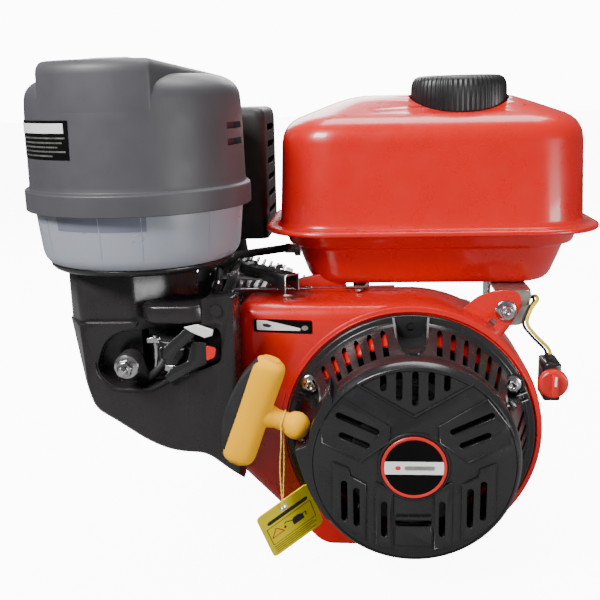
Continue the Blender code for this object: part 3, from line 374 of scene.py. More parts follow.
def spread(tree, factor, low, high, start=0.3, end=0.7):
    """A factor mapped onto a range of numbers."""
    item = add_node(tree, "ShaderNodeMapRange", From_Min=start, From_Max=end, To_Min=low, To_Max=high)
    tree.links.new(factor, item.inputs["Value"])
    return item.outputs["Result"]


def tinted(tree, factor, dark, light):
    ramp = tree.nodes.new("ShaderNodeValToRGB")
    ramp.color_ramp.elements[0].position, ramp.color_ramp.elements[1].position = 0.3, 0.7
    ramp.color_ramp.elements[0].color = (*dark, 1)
    ramp.color_ramp.elements[1].color = (*light, 1)
    tree.links.new(factor, ramp.inputs["Fac"])
    return ramp.outputs["Color"]


def bumped(tree, shader, heights, distance=0.0002):
    """Chains bumps of (height, strength) into the shader's normal."""
    last = None
    for height, strength in heights:
        bump = add_node(tree, "ShaderNodeBump", Strength=strength, Distance=distance)
        tree.links.new(height, bump.inputs["Height"])
        if last:
            tree.links.new(last, bump.inputs["Normal"])
        last = bump.outputs["Normal"]
    if last:
        tree.links.new(last, shader.inputs["Normal"])


def material(name, colour, roughness, metallic=0.0, tint=0.08, tint_scale=25, rough_spread=0.06,
        rough_scale=60, grain=0.0, grain_scale=1200, waves=0.0, waves_scale=30, stretch=None, **inputs):
    """A surface with its own colour spread, uneven gloss, grain and slow waves in its skin."""
    made = bpy.data.materials.new(name)
    made.use_nodes = True
    tree = made.node_tree
    shader = tree.nodes["Principled BSDF"]
    coordinates = tree.nodes.new("ShaderNodeTexCoord").outputs["Object"]
    dark = [c * (1 - tint) for c in colour]
    light = [min(1.0, c * (1 + tint)) for c in colour]
    tree.links.new(tinted(tree, noise_node(tree, coordinates, tint_scale, 4, stretch), dark, light),
        shader.inputs["Base Color"])
    gloss = noise_node(tree, coordinates, rough_scale, 3, stretch)
    tree.links.new(spread(tree, gloss, max(0.02, roughness - rough_spread), roughness + rough_spread),
        shader.inputs["Roughness"])
    shader.inputs["Metallic"].default_value = metallic
    for key, value in inputs.items():
        shader.inputs[key.replace("_", " ")].default_value = value
    heights = []
    if waves:
        heights.append((noise_node(tree, coordinates, waves_scale, 1), waves))
    if grain:
        heights.append((noise_node(tree, coordinates, grain_scale, 2, stretch), grain))
    bumped(tree, shader, heights)
    return made


RED_PAINT = material("red_paint", (0.62, 0.0035, 0.0015), 0.3, tint=0.05, tint_scale=14, rough_spread=0.05,
    waves=0.03, waves_scale=18, grain=0.01, grain_scale=700, Coat_Weight=0.4, Coat_Roughness=0.08)
BLACK_PLASTIC = material("black_plastic", (0.015, 0.015, 0.016), 0.24, tint=0.12, tint_scale=40,
    rough_spread=0.07, grain=0.03, grain_scale=900)
DUCT_PLASTIC = material("duct_plastic", (0.017, 0.015, 0.015), 0.28, tint=0.12, tint_scale=30,
    rough_spread=0.06, grain=0.03, grain_scale=900, waves=0.02, waves_scale=14)
CAP_PLASTIC = material("cap_plastic", (0.064, 0.063, 0.070), 0.5, tint=0.05, tint_scale=30,
    rough_spread=0.05, grain=0.22, grain_scale=1500)
MILKY_PLASTIC = material("milky_plastic", (0.38, 0.40, 0.46), 0.3, tint=0.03, tint_scale=9,
    rough_spread=0.03, waves=0.01, waves_scale=20, Subsurface_Weight=0.3, Subsurface_Scale=0.004,
    Transmission_Weight=0.22)
CAP_BLACK = material("fuel_cap_plastic", (0.010, 0.010, 0.011), 0.42, tint=0.2, tint_scale=60,
    rough_spread=0.08, grain=0.25, grain_scale=1400)
YELLOW_PLASTIC = material("yellow_plastic", (0.93, 0.44, 0.0), 0.4, tint=0.05, tint_scale=22,
    rough_spread=0.05, grain=0.05, grain_scale=900, waves=0.02, waves_scale=30, Specular_IOR_Level=0.06)
RED_PLASTIC = material("red_plastic", (0.62, 0.018, 0.012), 0.3, tint=0.05, grain=0.08)
WHITE_PLASTIC = material("white_plastic", (0.75, 0.75, 0.73), 0.4, tint=0.03, grain=0.05)
CASTING = material("cast_aluminium", (0.46, 0.46, 0.47), 0.48, metallic=0.85, tint=0.12, tint_scale=90,
    rough_spread=0.09, rough_scale=160, grain=0.55, grain_scale=1100)
STEEL = material("bright_steel", (0.62, 0.62, 0.63), 0.2, metallic=1.0, tint=0.08, tint_scale=200,
    rough_spread=0.08, rough_scale=300, grain=0.05, grain_scale=2500)
TURNED_STEEL = material("turned_steel", (0.58, 0.58, 0.59), 0.24, metallic=1.0, tint=0.06, tint_scale=80,
    rough_spread=0.08, grain=0.12, grain_scale=900, stretch=(1, 14, 1))
ZINC = material("zinc_plate", (0.50, 0.50, 0.47), 0.32, metallic=0.9, tint=0.14, tint_scale=120,
    rough_spread=0.1, rough_scale=140, grain=0.1, grain_scale=1600)
# Painted shade: the grey of the ring inside the air bowl, which darkens a band of its milky wall
SHADE_RING_GREY = material("painted_shade_grey", (0.23, 0.23, 0.24), 0.42, tint=0.06, grain=0.12)
BLACK_PAINT = material("black_paint", (0.014, 0.014, 0.015), 0.3, tint=0.25, tint_scale=50,
    rough_spread=0.08, grain=0.22, grain_scale=700, waves=0.15, waves_scale=60, Coat_Weight=0.25,
    Coat_Roughness=0.2)
HEAT_BLACK = material("heat_black", (0.022, 0.021, 0.021), 0.5, tint=0.3, tint_scale=35, rough_spread=0.12,
    grain=0.5, grain_scale=900)
RUBBER = material("black_rubber", (0.016, 0.016, 0.017), 0.6, tint=0.2, tint_scale=50, rough_spread=0.1,
    grain=0.3, grain_scale=1300)
PAPER = material("filter_paper", (0.62, 0.45, 0.22), 0.8, tint=0.12, tint_scale=60, grain=0.5)
CARD = material("yellow_card", (1.0, 0.80, 0.0), 0.5, tint=0.04, tint_scale=60, rough_spread=0.06,
    grain=0.12, grain_scale=800, Specular_IOR_Level=0.2)
INK = material("black_ink", (0.012, 0.012, 0.012), 0.5, tint=0.2, grain=0.1)
RED_INK = material("red_ink", (0.62, 0.03, 0.02), 0.5, tint=0.08, grain=0.1)
WHITE_PRINT = material("white_print", (0.82, 0.82, 0.82), 0.35, tint=0.02, grain=0.04)
LABEL_BLACK = material("label_black", (0.002, 0.002, 0.002), 0.5, tint=0.15, grain=0.02,
    Specular_IOR_Level=0.1)
# Painted shade: the bluish grey of the patch on the front of the air bowl, under its rim
SHADE_PATCH_GREY = material("painted_shade_bluish", (0.15, 0.16, 0.21), 0.35, tint=0.1, tint_scale=30, grain=0.02)
YELLOW_WIRE = material("yellow_wire", (0.85, 0.62, 0.01), 0.36, tint=0.05, grain=0.1)
STRING = material("string", (0.82, 0.62, 0.07), 0.75, tint=0.18, tint_scale=500, grain=0.6,
    grain_scale=2600)
ROPE = material("rope", (0.12, 0.11, 0.10), 0.8, tint=0.3, tint_scale=700, grain=0.8, grain_scale=2200)
COPPER_TONE = material("plug_shell", (0.55, 0.50, 0.42), 0.28, metallic=1.0, tint=0.1)


# Recoil starter. A level is a distance forward of the row frame's XZ plane

BASE_LEVEL, BAND_LEVEL, PANEL_LEVEL = 182.4, 183.6, 184.8
BOLT_ANGLES = (151.7, 28.3, 270)
BOLT_R = 88
# Each slot in the front face: its middle as x and z from the crank, its length and its lean in degrees
FRONT_SLOTS = (
    (0.6, 58.5, 26, 90), (-10.7, 60.2, 21.5, 90), (11.9, 60.2, 21.5, 90), (-21.9, 62.7, 12.5, 90),
    (22.9, 62.7, 12.5, 90), (-40.2, 32.8, 34, -25), (40.7, 33.2, 34, 25), (-42.7, 20, 24, -23.5),
    (43.2, 20.6, 24, 23.5), (-50.4, -27.5, 32, 90), (50, -26.5, 31, 90), (-41.5, -32.4, 31, 90),
    (40.7, -32.2, 31, 90), (-21.3, -42, 28.5, 90), (20.7, -41.4, 28.5, 90), (0, -44.8, 27, 0),
)
SLOT_STEP = 7.1
RING_SLOTS = [start + way * SLOT_STEP * i for start, way in ((104, 1), (76, -1), (14, -1))
    for i in range(6)]
RING_SLOT_R = 82


def about_crank(x, z, y=0.0):
    """A place given as x and z from the crank axis."""
    return Vector((x, y, CRANK_Z + z))


def on_crank(outline):
    return [(x, CRANK_Z + z) for x, z in outline]


def mirrored(outline):
    return [(-point[0], *point[1:]) for point in reversed(outline)]


def capsule(length, width, steps=7):
    """The outline of a slot with round ends."""
    right = arc_points(width / 2, -90, 90, steps, (length - width) / 2)
    return right + [(-x, -z) for x, z in right]


def turned_outline(outline, degrees, x=0.0, z=0.0):
    c, s = cos(radians(degrees)), sin(radians(degrees))
    return [(x + a * c - b * s, z + a * s + b * c) for a, b in outline]


def slot_cutter(x, z, length, lean, width, low, high):
    outline = turned_outline(capsule(length, width), lean, x, z)
    return prism("slot", on_crank(outline), -high, -low)


def front_slots():
    return [slot_cutter(x, z, length, lean, 5.2 if lean == 0 else 4.6, 170, 190)
        for x, z, length, lean in FRONT_SLOTS]


def ring_slots():
    made = []
    for angle in RING_SLOTS:
        x, z = RING_SLOT_R * cos(radians(angle)), RING_SLOT_R * sin(radians(angle))
        made.append(slot_cutter(x, z, 14.5, angle, 4.3, 100, 163))
    return made


# The housing's profile, as radius, level and the corner's own rounding
CONE = [(97, 121.4), (97, 124.6, 0.8), (96.2, 125.6, 0.6), (92.2, 125.6, 0.9), (91.2, 126.8, 0.8),
    (89.6, 129.6, 1), (79.2, 161, 2), (78, 165, 2)]
DRUM = [(78, 178.6, 4), (74.2, BAND_LEVEL, 2.6), (72.4, BAND_LEVEL, 0.4), (71.6, BASE_LEVEL, 0.4)]


def seat_line(grow, top=95.5, steps=16):
    """The U-shaped line of the top pocket, open at the rim."""
    wide, deep, middle = 10.6 + grow, 5.2 + grow, 84.5
    side = [(12.4 + grow, top), (wide, middle)]
    base = [(wide * cos(t), middle + deep * sin(t)) for t in (-pi * i / steps for i in range(1, steps))]
    return side + base + mirrored(side)


def bolt_middle(angle):
    return BOLT_R * cos(radians(angle)), BOLT_R * sin(radians(angle))


def bolt_place(angle, y):
    return about_crank(*bolt_middle(angle), y)


def closed_up(obj):
    """Joins the points that lie on each other, so that the surface is closed."""
    shape = bmesh.new()
    shape.from_mesh(obj.data)
    bmesh.ops.remove_doubles(shape, verts=shape.verts, dist=1e-6)
    bmesh.ops.recalc_face_normals(shape, faces=shape.faces)
    shape.to_mesh(obj.data)
    shape.free()
    return obj


def cone_level(radius):
    """How far forward the cone's surface is at this radius."""
    line = [p[:2] for p in CONE] + [(70, 165)]
    for (r0, h0), (r1, h1) in zip(line, line[1:]):
        if r1 <= radius <= r0 and r0 > r1:
            return h0 + (h1 - h0) * (r0 - radius) / (r0 - r1)
    return line[0][1] if radius > line[0][0] else line[-1][1]


def pocket_wall(name, inner, outer, floor_level):
    """The wall of a pocket let into the cone, with a small bright lip, as high as the cone is there."""
    sections = []
    for (x0, z0), (x1, z1) in zip(inner, outer):
        top = cone_level(min(96.0, sqrt(x1 * x1 + z1 * z1))) + 0.5
        low = floor_level - 2
        sections.append([about_crank(x0, z0, -low), about_crank(x0, z0, -top),
            about_crank(x1, z1, -top + 0.3), about_crank(x1, z1, -low)])
    return loft(name, sections)


def recoil_shell():
    outer = rounded_profile(CONE + DRUM + [(0, BASE_LEVEL)], 1)
    inner = [(0, 179.4), (70, 179.4), (75, 175), (75.4, 164), (81, 147), (86, 131), (86, 121.4),
        (97, 121.4)]
    shell = closed_up(lathe("recoil_shell", outer + inner, CRANK_AT, FORWARD, 160))
    cutters = ring_slots() + front_slots()
    cutters.append(prism("seat_room", on_crank(seat_line(0, 99, 12)), -170, -125.2))
    cutters += [rod("bolt_pocket", bolt_place(a, -124.8), bolt_place(a, -170), 8.6, 40)
        for a in BOLT_ANGLES]
    for cutter in cutters:
        cut(shell, cutter)
    return shell


def recoil_pockets():
    base = prism("seat_floor", on_crank(seat_line(1.2)), -126.2, -122)
    cut(base, rod("seat_hole", about_crank(0, BOLT_R, -110), about_crank(0, BOLT_R, -135), 3.4, 32))
    made = [base, pocket_wall("seat_wall", seat_line(0), seat_line(1.7), 125)]
    for angle in BOLT_ANGLES:
        inner, outer = [arc_points(r, 0, 360, 40, *bolt_middle(angle)) for r in (8.6, 9.9)]
        made.append(pocket_wall("bolt_wall", inner, outer, 125))
        made.append(rod("bolt_floor", bolt_place(angle, -122), bolt_place(angle, -125), 9, 40))
    return made


def shroud_lip():
    """The fan cover's red lip, which shows through the slots of the ring."""
    section = ((80.6, 143), (84.6, 131), (85.6, 124), (79, 124), (79, 143))
    arcs = []
    for start, end in ((35, 78.6), (101.4, 145), (-26, 16)):
        turns = [radians(start + (end - start) * i / 24) for i in range(25)]
        arcs.append(loft("lip", [[about_crank(r * cos(t), r * sin(t), -h) for r, h in section]
            for t in turns]))
    show(together("shroud_lip", *arcs), RED_PAINT)


def bulge():
    """The rope exit, where the front face runs out past the round drum."""
    outline = [(-60, 58, 2), (-74, 30, 6), (-76.6, 15.2, 2), (-86.4, 11.6, 1.6), (-81.3, -7, 8),
        (-74.7, -25.4, 8), (-63, -46, 6), (-40, -40, 2)]
    return on_crank(rounded_outline(outline, 2, 6))


def rope_exit():
    horn = loft("rope_exit", [
        on_plane(bulge(), -139, "Y"), on_plane(bulge(), -181.6, "Y"),
        on_plane(shrunk(bulge(), 0.7), -182.9, "Y"), on_plane(shrunk(bulge(), 2), 0.25 - BAND_LEVEL, "Y"),
    ])
    room = rod("drum_room", about_crank(0, 0, -130), about_crank(0, 0, -190), 73, 120)
    hole = rod("rope_hole", GRIP + STEM * 22, GRIP + STEM * 60, 4.2, 24)
    seat = rod("ball_seat", GRIP, GRIP + STEM * 44, 11.6, 48)
    return cut(horn, room, hole, seat)


def shrunk(outline, amount):
    """An outline drawn in towards its middle by about this amount."""
    cx = sum(p[0] for p in outline) / len(outline)
    cz = sum(p[1] for p in outline) / len(outline)
    reach = max(sqrt((x - cx) ** 2 + (z - cz) ** 2) for x, z in outline)
    k = 1 - amount / reach
    return [(cx + (x - cx) * k, cz + (z - cz) * k) for x, z in outline]


PANELS = (
    [(-51, 52.3), (-17, 31), (-17.6, 18.6), (-38.5, 3.2), (-66.6, 18, 3), (-67.2, 31, 3)],
    [(-58.4, 3.4, 1), (-47.4, -1.6, 1), (-46.2, -7.6, 1), (-34.6, -14.2, 1), (-34.6, -59, 1),
     (-47, -52, 8), (-58.6, -42, 3)],
    [(-27.4, -12, 1), (-23.6, -14, 1), (-15.2, -21.4, 1), (-15.2, -66, 1), (-27.4, -62.5, 1)],
)
LOW_PANEL = [(-12.6, -39, 1), (12.6, -39, 1), (13.6, -63, 2), (-13.6, -63, 2)]


def relief(name, outline, level, radius=1.5):
    """A raised area of the front face, with its slots through it."""
    piece = prism(name, on_crank(rounded_outline(outline, radius)), -level, -BASE_LEVEL + 1.2)
    cut(piece, *front_slots())
    return soft_edges(piece, 0.75, 3, 40)


def recoil_relief():
    band = [(-41, 62.6), (0, 38.2), (41, 62.6)] + arc_points(74.6, 56.5, -236.5, 90)[1:]
    made = [relief("band", [(x, z, 0.3) for x, z in band], BAND_LEVEL)]
    for i, outline in enumerate(PANELS):
        made.append(relief(f"panel_{i}", outline, PANEL_LEVEL))
        made.append(relief(f"panel_mirror_{i}", mirrored(outline), PANEL_LEVEL))
    made.append(relief("low_panel", LOW_PANEL, PANEL_LEVEL))
    for side in (-1, 1):
        ends = [about_crank(side * x, z, -BAND_LEVEL) for x, z in ((41.2, 62.4), (0, 37.9))]
        made.append(tube("v_ridge", ends, 0.9, 12))
    for outline in PANELS + (LOW_PANEL[:2],):
        for corners in (outline, mirrored(outline)):
            line = [p[:2] for p in corners]
            if len(line) > 2:
                line = shrunk(line, 0.7)
                line.append(line[0])
            made.append(tube("panel_ridge", [about_crank(x, z, -PANEL_LEVEL + 0.35) for x, z in line], 0.62,
                8))
    return made


def boss_and_ribs():
    boss = lathe("emblem_boss", [(0, 180), (26.4, 180), (26.4, 184.4), (25.8, 185.1), (24.6, 185.2),
        (24.3, 184.9), (0, 184.9)], CRANK_AT, FORWARD)
    made = [boss, lathe("reel_post", [(0, 150), (8, 150), (8, 181), (0, 181)], CRANK_AT, FORWARD, 40)]
    for x, z, side in ((-84.4, 34.9, 1), (-85.6, 29, 1), (84.4, 34.9, -1), (85.6, 29, -1)):
        a, b = about_crank(x - 4.2 * side, z + 1, -126.6), about_crank(x + 4.2 * side, z - 1, -130.2)
        made.append(tube("short_rib", [a, b], 0.9, 10))
    return made


def recoil_housing():
    pieces = [recoil_shell(), rope_exit()] + recoil_pockets() + recoil_relief() + boss_and_ribs()
    housing = together("recoil_housing_skin", *pieces)
    show(housing, BLACK_PLASTIC, stands_for=["recoil_housing"], angle=30)


def emblem():
    ring = lathe("emblem_ring", [(21.4, 185.3), (21.4, 186.4), (21.9, 186.7), (23.3, 186.7), (23.7, 186.3),
        (23.7, 185.3)], CRANK_AT, FORWARD, 96, closed=True)
    show(ring, RED_PLASTIC)
    disc = lathe("emblem_disc", [(0, 185.3), (21.6, 185.3), (21.6, 186.2), (0, 186.2)], CRANK_AT, FORWARD)
    show(disc, LABEL_BLACK, stands_for=["recoil_emblem"])
    top, low = 4.7, -5.2
    band = [(x, max(low, min(top, z))) for x, z in arc_points(21.3, -14.1, 12.7, 8)]
    outline = on_crank(band + [(-x, z) for x, z in reversed(band)])
    show(prism("emblem_band", outline, -186.4, -186.1), WHITE_PRINT)
    for x, width, ink in ((-11.5, 4, RED_INK), (4, 22, ZINC)):
        bar = prism("emblem_bar", on_crank(turned_outline(capsule(width, 3.2), 0, x, -0.2)), -186.5,
            -186.35)
        show(bar, ink)


def hex_outline(across, turn=0.0):
    return arc_points(across / sqrt(3), turn, turn + 300, 5)


def hexagon(name, turn, across, levels, lean=0.0):
    """A hexagon placed by a matrix. Each level is a height and a share of the full width."""
    corners = hex_outline(across, lean)
    return loft(name, [[turn @ Vector((a * k, b * k, h)) for a, b in corners] for h, k in levels])


def flange_bolt(name, place, direction, across=8.5, flange=15, height=6, replaced=()):
    """A hexagon bolt head with its flange, dished on top."""
    r, f = across / 2, flange / 2
    pad = lathe("pad", [(0, 0), (f, 0), (f, 0.9), (f - 0.5, 1.3), (r + 1.1, 2.1), (0, 2.1)], place,
        direction, 64)
    levels = ((1.6, 1.0), (height - 0.7, 1.0), (height, 0.86))
    head = evaluated(soft_edges(hexagon("head", placed(place, direction), across, levels), 0.35, 2, 20))
    cut(head, lathe("dish", [(0, height - 1.1), (r * 0.62, height - 0.5), (r * 0.66, height + 1),
        (0, height + 1)], place, direction, 32))
    show(together(name, pad, head), STEEL, ROOT, replaced, 25)


def recoil_bolts():
    for number, angle in enumerate(BOLT_ANGLES, 1):
        flange_bolt(f"recoil_bolt_head_{number}", bolt_place(angle, -124.7), FORWARD, 8.4, 14.8, 6,
            [f"recoil_bolt_{number}"])


recoil_housing()
emblem()
recoil_bolts()


# Fan cover

def scroll(inset):
    """The fan cover's outline: round about the crank, with a pocket towards the cylinder."""
    left, top = -137 + inset, 210 - inset
    right = arc_points(104 - inset, -90, 88, 90, 0, CRANK_Z)
    corner = arc_points(14 - inset / 2, 90, 180, 14, left + 14, top - 14)
    low = arc_points(12 - inset / 2, 180, 222, 7, left + 12, 76 + inset)
    foot = arc_points(22, 228, 264, 9, -60, 26 + inset / 2)
    return right + corner + low + foot


def fan_cover():
    levels = ((-58, 0), (-108, 0), (-113, 0.6), (-116.6, 1.9), (-119, 3.9), (-120.4, 6.4), (-121, 9.5))
    cover = loft("fan_cover_skin", [on_plane(scroll(inset), y, "Y") for y, inset in levels])
    room = ((-57, 2), (-106, 2), (-115, 5), (-118.4, 12))
    cut(cover, loft("shroud_room", [on_plane(scroll(inset), y, "Y") for y, inset in room]),
        rod("shroud_eye", (0, -130, CRANK_Z), (0, -110, CRANK_Z), 80, 120))
    bead = lathe("bead", [(97.6, 117), (98.3, 121.4), (99, 122), (102.2, 122), (103, 121.2), (103.8, 115)],
        CRANK_AT, FORWARD, 160, closed=True)
    lip = lathe("bead_line", [(98.6, 121.6), (98.9, 122.6), (99.6, 122.6), (100, 121.6)], CRANK_AT, FORWARD,
        160, closed=True)
    ear = slab("ear", [(36, 194), (54, 211, 6), (70, 215.4, 5), (86, 214.4, 6), (89, 203, 7), (80, 186, 6),
        (72, 176), (60, 180)], 3, -96.2, -94.4)
    cut(ear, prism("ear_hole", [(65.5 + a, 188.4 + b) for a, b in turned_outline(capsule(9, 5.4), 60)],
        -100, -90))
    soft_edges(ear, 0.5, 2)
    sheet = slab("top_sheet", [(-137, 196), (-137, 210, 6), (-112, 213, 20), (-84, 221, 12), (-60, 226, 4),
        (-50, 226, 2), (-50, 196)], 3, -67.5, -64)
    soft_edges(sheet, 1.2, 3)
    show(together("fan_cover_all", cover, bead, lip, ear, sheet), RED_PAINT, stands_for=["fan_cover"],
        angle=32)


def speed_label():
    """The throttle label: a wedge that widens towards fast."""
    corners = rounded_outline([(-121, 199.6), (-75.4, 197.8), (-75.4, 187.2), (-121, 189.2)], 1.6)
    show(prism("speed_label", corners, -121.35, -120.9), LABEL_BLACK)
    wedge = rounded_outline([(-118.6, 198.6), (-112, 198.4, 3), (-84.6, 191.8), (-84.8, 189.8),
        (-118.6, 190.6)], 0.8)
    show(prism("speed_wedge", wedge, -121.5, -121.3), WHITE_PRINT)
    show(prism("speed_dot", [(-81.2 + 2.6 * cos(t), 192 + 2 * sin(t))
        for t in (2 * pi * i / 20 for i in range(20))], -121.5, -121.3), ZINC)
    hare = rounded_outline([(-114, 195.8), (-110, 195.6), (-106.5, 194), (-109, 192.6), (-113.6, 193.4)],
        0.6)
    show(prism("speed_mark", hare, -121.6, -121.45), INK)


fan_cover()
shroud_lip()
speed_label()


# Air cleaner

AIR = (-208.6, -101.8, 0)


def about_air(radius, degrees, z):
    t = radians(degrees)
    return Vector((AIR[0] + radius * cos(t), AIR[1] + radius * sin(t), z))


def solid_patch(name, radius, start, end, low, high, depth=0.3, steps=16):
    """A thin curved plate on the cleaner's wall."""
    rings = []
    for i in range(steps + 1):
        t = start + (end - start) * i / steps
        rings.append([about_air(radius - 0.5, t, low), about_air(radius + depth, t, low),
            about_air(radius + depth, t, high), about_air(radius - 0.5, t, high)])
    return loft(name, rings)


def air_bowl():
    profile = [(26, 248.4), (70, 248.4, 3), (72.6, 249.6, 3), (75.4, 253.4, 4), (76.6, 259, 4),
        (79.5, 288.6), (77.3, 288.6), (75, 260, 3), (73.6, 255, 4), (71, 251.4, 4), (66, 250.6),
        (26, 250.6)]
    bowl = lathe("bowl", rounded_profile(profile, 0.5) + [(26, 248.4)], AIR, UP, 160)
    ribs = []
    for a in (226, 262, 284, 322, 150, 20, 80):
        rings = []
        for z, r in ((254, 75.2), (260, 76.6), (288, 79.3)):
            rings.append([about_air(r - 0.5, a, z), about_air(r + 0.3, a + 0.1, z),
                about_air(r + 0.3, a + 0.5, z), about_air(r - 0.5, a + 0.6, z)])
        ribs.append(loft("bowl_rib", rings))
    show(together("air_bowl_skin", bowl, *ribs), MILKY_PLASTIC, stands_for=["air_bowl"])
    # Painted shade: a grey ring inside the milky bowl, which shows through the wall as a darker band under
    # the rim
    inner = lathe("bowl_baffle", [(74.5, 274), (75.8, 274), (75.8, 285.6), (74.5, 285.6)], AIR, UP, 128,
        closed=True)
    show(inner, SHADE_RING_GREY)
    # Painted shade: a bluish grey patch on the front of the bowl's wall under the rim, darker where shade
    # falls
    shade = loft("bowl_shade", [[about_air(r + h, a, z) for r, h, z in ((78.4, -0.5, 277.5),
        (78.4, 0.12, 277.5), (79.4, 0.12, 288.2), (79.4, -0.5, 288.2))] for a in range(236, 290, 3)])
    show(shade, SHADE_PATCH_GREY)
    base = turned("bowl_base", [(0, 241), (58, 241), (69, 244, 2), (71.4, 246.4, 1), (71.4, 248.4),
        (0, 248.4)], 0.6, AIR, UP, 128)
    show(base, BLACK_PLASTIC)


def crown(x, y):
    """The height of the ridge on top, which falls away to the back right."""
    along = ((x + 176) * 0.32 + (y + 176) * 0.947) / 112
    across = (x + 215) / 50
    fall = 12 * max(0.0, min(1.0, along)) ** 1.3 * max(0.0, min(1.0, across))
    middle = 1 - min(1.0, sqrt((x + 225) ** 2 + (y + 95) ** 2) / 70)
    return 394.6 - fall + 4.8 * middle * middle * (3 - 2 * middle)


def ridge_outline(inset):
    r = 81.0 - inset
    front = arc_points(r, 230, 293, 21)
    right = [(68.5 - inset, 30 - inset, 10), (52 - inset, 52 - inset, 14)]
    back = [(-10, 66 - inset, 30), (-44 + inset, 54 - inset, 14)]
    left = [(-53.5 + inset, 30, 10)]
    outline = [(x, y, 5 if i in (0, len(front) - 1) else 0) for i, (x, y) in enumerate(front)]
    return [(AIR[0] + x, AIR[1] + y) for x, y in rounded_outline(outline + right + back + left, 6, 6)]


def cap_ridge():
    levels = ((356, 0), (388, 0), (392, 0.4), (395, 1.4), (398, 3.4), (399.4, 5.8), (400, 9), (400, 20),
        (400, 36), (400, 52))
    rings = []
    for z, inset in levels:
        ring = []
        for x, y in ridge_outline(inset):
            share = max(0.0, (z - 372) / 28)
            ring.append(Vector((x, y, z if z < 372 else 372 + (crown(x, y) - 372) * share)))
        rings.append(ring)
    return loft("ridge", rings)


def cap_wall():
    profile = [(83.4, 288.6), (86, 288.6, 0.8), (86, 303.8, 1.4), (82.7, 304.8, 0.9), (82.2, 308),
        (81.1, 360, 16), (79.6, 376, 14), (66, 384.4, 12), (40, 385.4), (0, 386)]
    inner = [(0, 383), (60, 382), (76, 372), (79, 360), (80.2, 303), (83.4, 301)]
    return lathe("cap_wall", rounded_profile(profile, 1.2, 8) + inner + [(83.4, 288.6)], AIR, UP, 180)


def air_cap():
    body = cap_wall()
    vents = []
    for z in (347.4, 335.6):
        vents.append(loft("vent", [[about_air(r, 352 + a, z + b)
            for a, b in ((-14.5, -2.4), (5, -2.4), (5, 2.4), (-14.5, 2.4))] for r in (74, 90)]))
    cut(body, *vents)
    cap = together("air_cap_skin", body, cap_ridge())
    show(cap, CAP_PLASTIC, stands_for=["air_cap"], angle=34)
    dark = lathe("cap_lining", [(76.8, 325), (77.6, 325), (77.6, 358), (76.8, 358)], AIR, UP, 96,
        closed=True)
    show(dark, RUBBER)


def cap_label():
    """A plain care label: a header bar and rows of lines."""
    show(solid_patch("cap_label", 81.7, 196, 251, 327.5, 354.5, 0.15), LABEL_BLACK)
    show(solid_patch("cap_label_header", 81.95, 197, 248.5, 345.8, 352.6, 0.15), WHITE_PRINT)
    rows = ((249, 342.6), (247, 339.4), (244, 336.4), (249, 333.4), (240, 330.4))
    lines = [solid_patch("line", 81.95, 198, end, z - 0.55, z + 0.55, 0.12) for end, z in rows]
    show(together("cap_label_lines", *lines), ZINC)


def air_filter():
    shape = [about_air(58 if i % 2 else 53, 3 * i, 0)[:2] for i in range(120)]
    pleats = prism("filter_pleats", shape, 252, 346, "Z")
    show(pleats, PAPER, stands_for=["air_filter"])
    for z in (247.2, 346):
        ring = lathe("filter_ring", [(30, z), (58, z), (58, z + 5.6), (30, z + 5.6)], AIR, UP, 96,
            closed=True)
        show(ring, RUBBER)


# Intake duct and its levers

DUCT_FRONT = -158
STUD = Vector((-212, 0, 174))
CHOKE_AXIS, VALVE_AXIS = Vector((-178, 0, 185)), Vector((-179, 0, 165.5))


def duct_body():
    """The duct's front, drawn in from the wider plane behind it."""
    front = [(-244.2, 158, 8), (-238.7, 139.8, 8), (-225.6, 131.8, 8), (-199.4, 113.8, 10),
        (-180.4, 105.6, 12), (-154.8, 104.2, 8), (-139, 91.6, 4), (-131, 85.8, 1.5), (-131, 225.5, 2),
        (-153.6, 225, 3), (-154.4, 206, 1), (-246.5, 206, 3)]
    middle = [(-254.2, 148, 8), (-248.5, 128.6, 8), (-234.5, 120.2, 8), (-207.3, 101.5, 10),
        (-187.4, 93.2, 12), (-160.6, 91.6, 8), (-142.6, 77.4, 4), (-131.2, 70, 1.5), (-131.2, 222, 2),
        (-153.6, 222, 3), (-154.4, 206, 1), (-262.2, 206, 3)]
    rings = [on_plane(rounded_outline(outline, 2, 6), y, "Y")
        for outline, y in ((front, DUCT_FRONT), (middle, -132), (middle, -122.2))]
    body = loft("duct", rings)
    rear = slab("duct_rear", [(-254, 150, 8), (-240, 129, 8), (-207, 107), (-187, 98), (-162, 96),
        (-138.4, 80, 3), (-138.4, 204, 3), (-261, 206, 3)], 2, -123, -97.3, steps=6)
    return unite(body, rear)


def duct_column():
    plan = rounded_outline([(-262, -97.4, 3), (-262, -132, 8), (-247, -152.4, 5), (-207.5, -152, 5),
        (-184, -131, 6), (-167, -100, 5), (-170, -97.4, 2)], 3, 6)
    return soft_edges(prism("column", plan, 198, 246, "Z"), 1.2, 3)


def duct_pockets():
    deep = slab("deep", [(-204, 172, 5), (-197, 158, 5), (-181, 163, 4), (-160, 168.6, 5), (-141, 176, 6),
        (-140, 203, 8), (-170, 206.6, 3), (-204, 206.6, 3)], 3, -170, -123.5)
    left = slab("shallow", [(-237, 170, 9), (-224, 155.4, 9), (-196, 155.4, 9), (-181, 163.5, 8),
        (-178, 200, 4), (-204, 204, 6), (-228, 196, 14)], 4, -170, -143, steps=7)
    return deep, left


def duct_rim():
    """The bright lip round the D-shaped shelf."""
    line = [(-237.5, 176), (-236, 166), (-229, 158), (-221, 154.6), (-198, 154.6), (-189, 158),
        (-180, 162.6), (-166, 167)]
    return tube("rim", route([(x, -158.2, z) for x, z in line], 5), 1.3, 10)


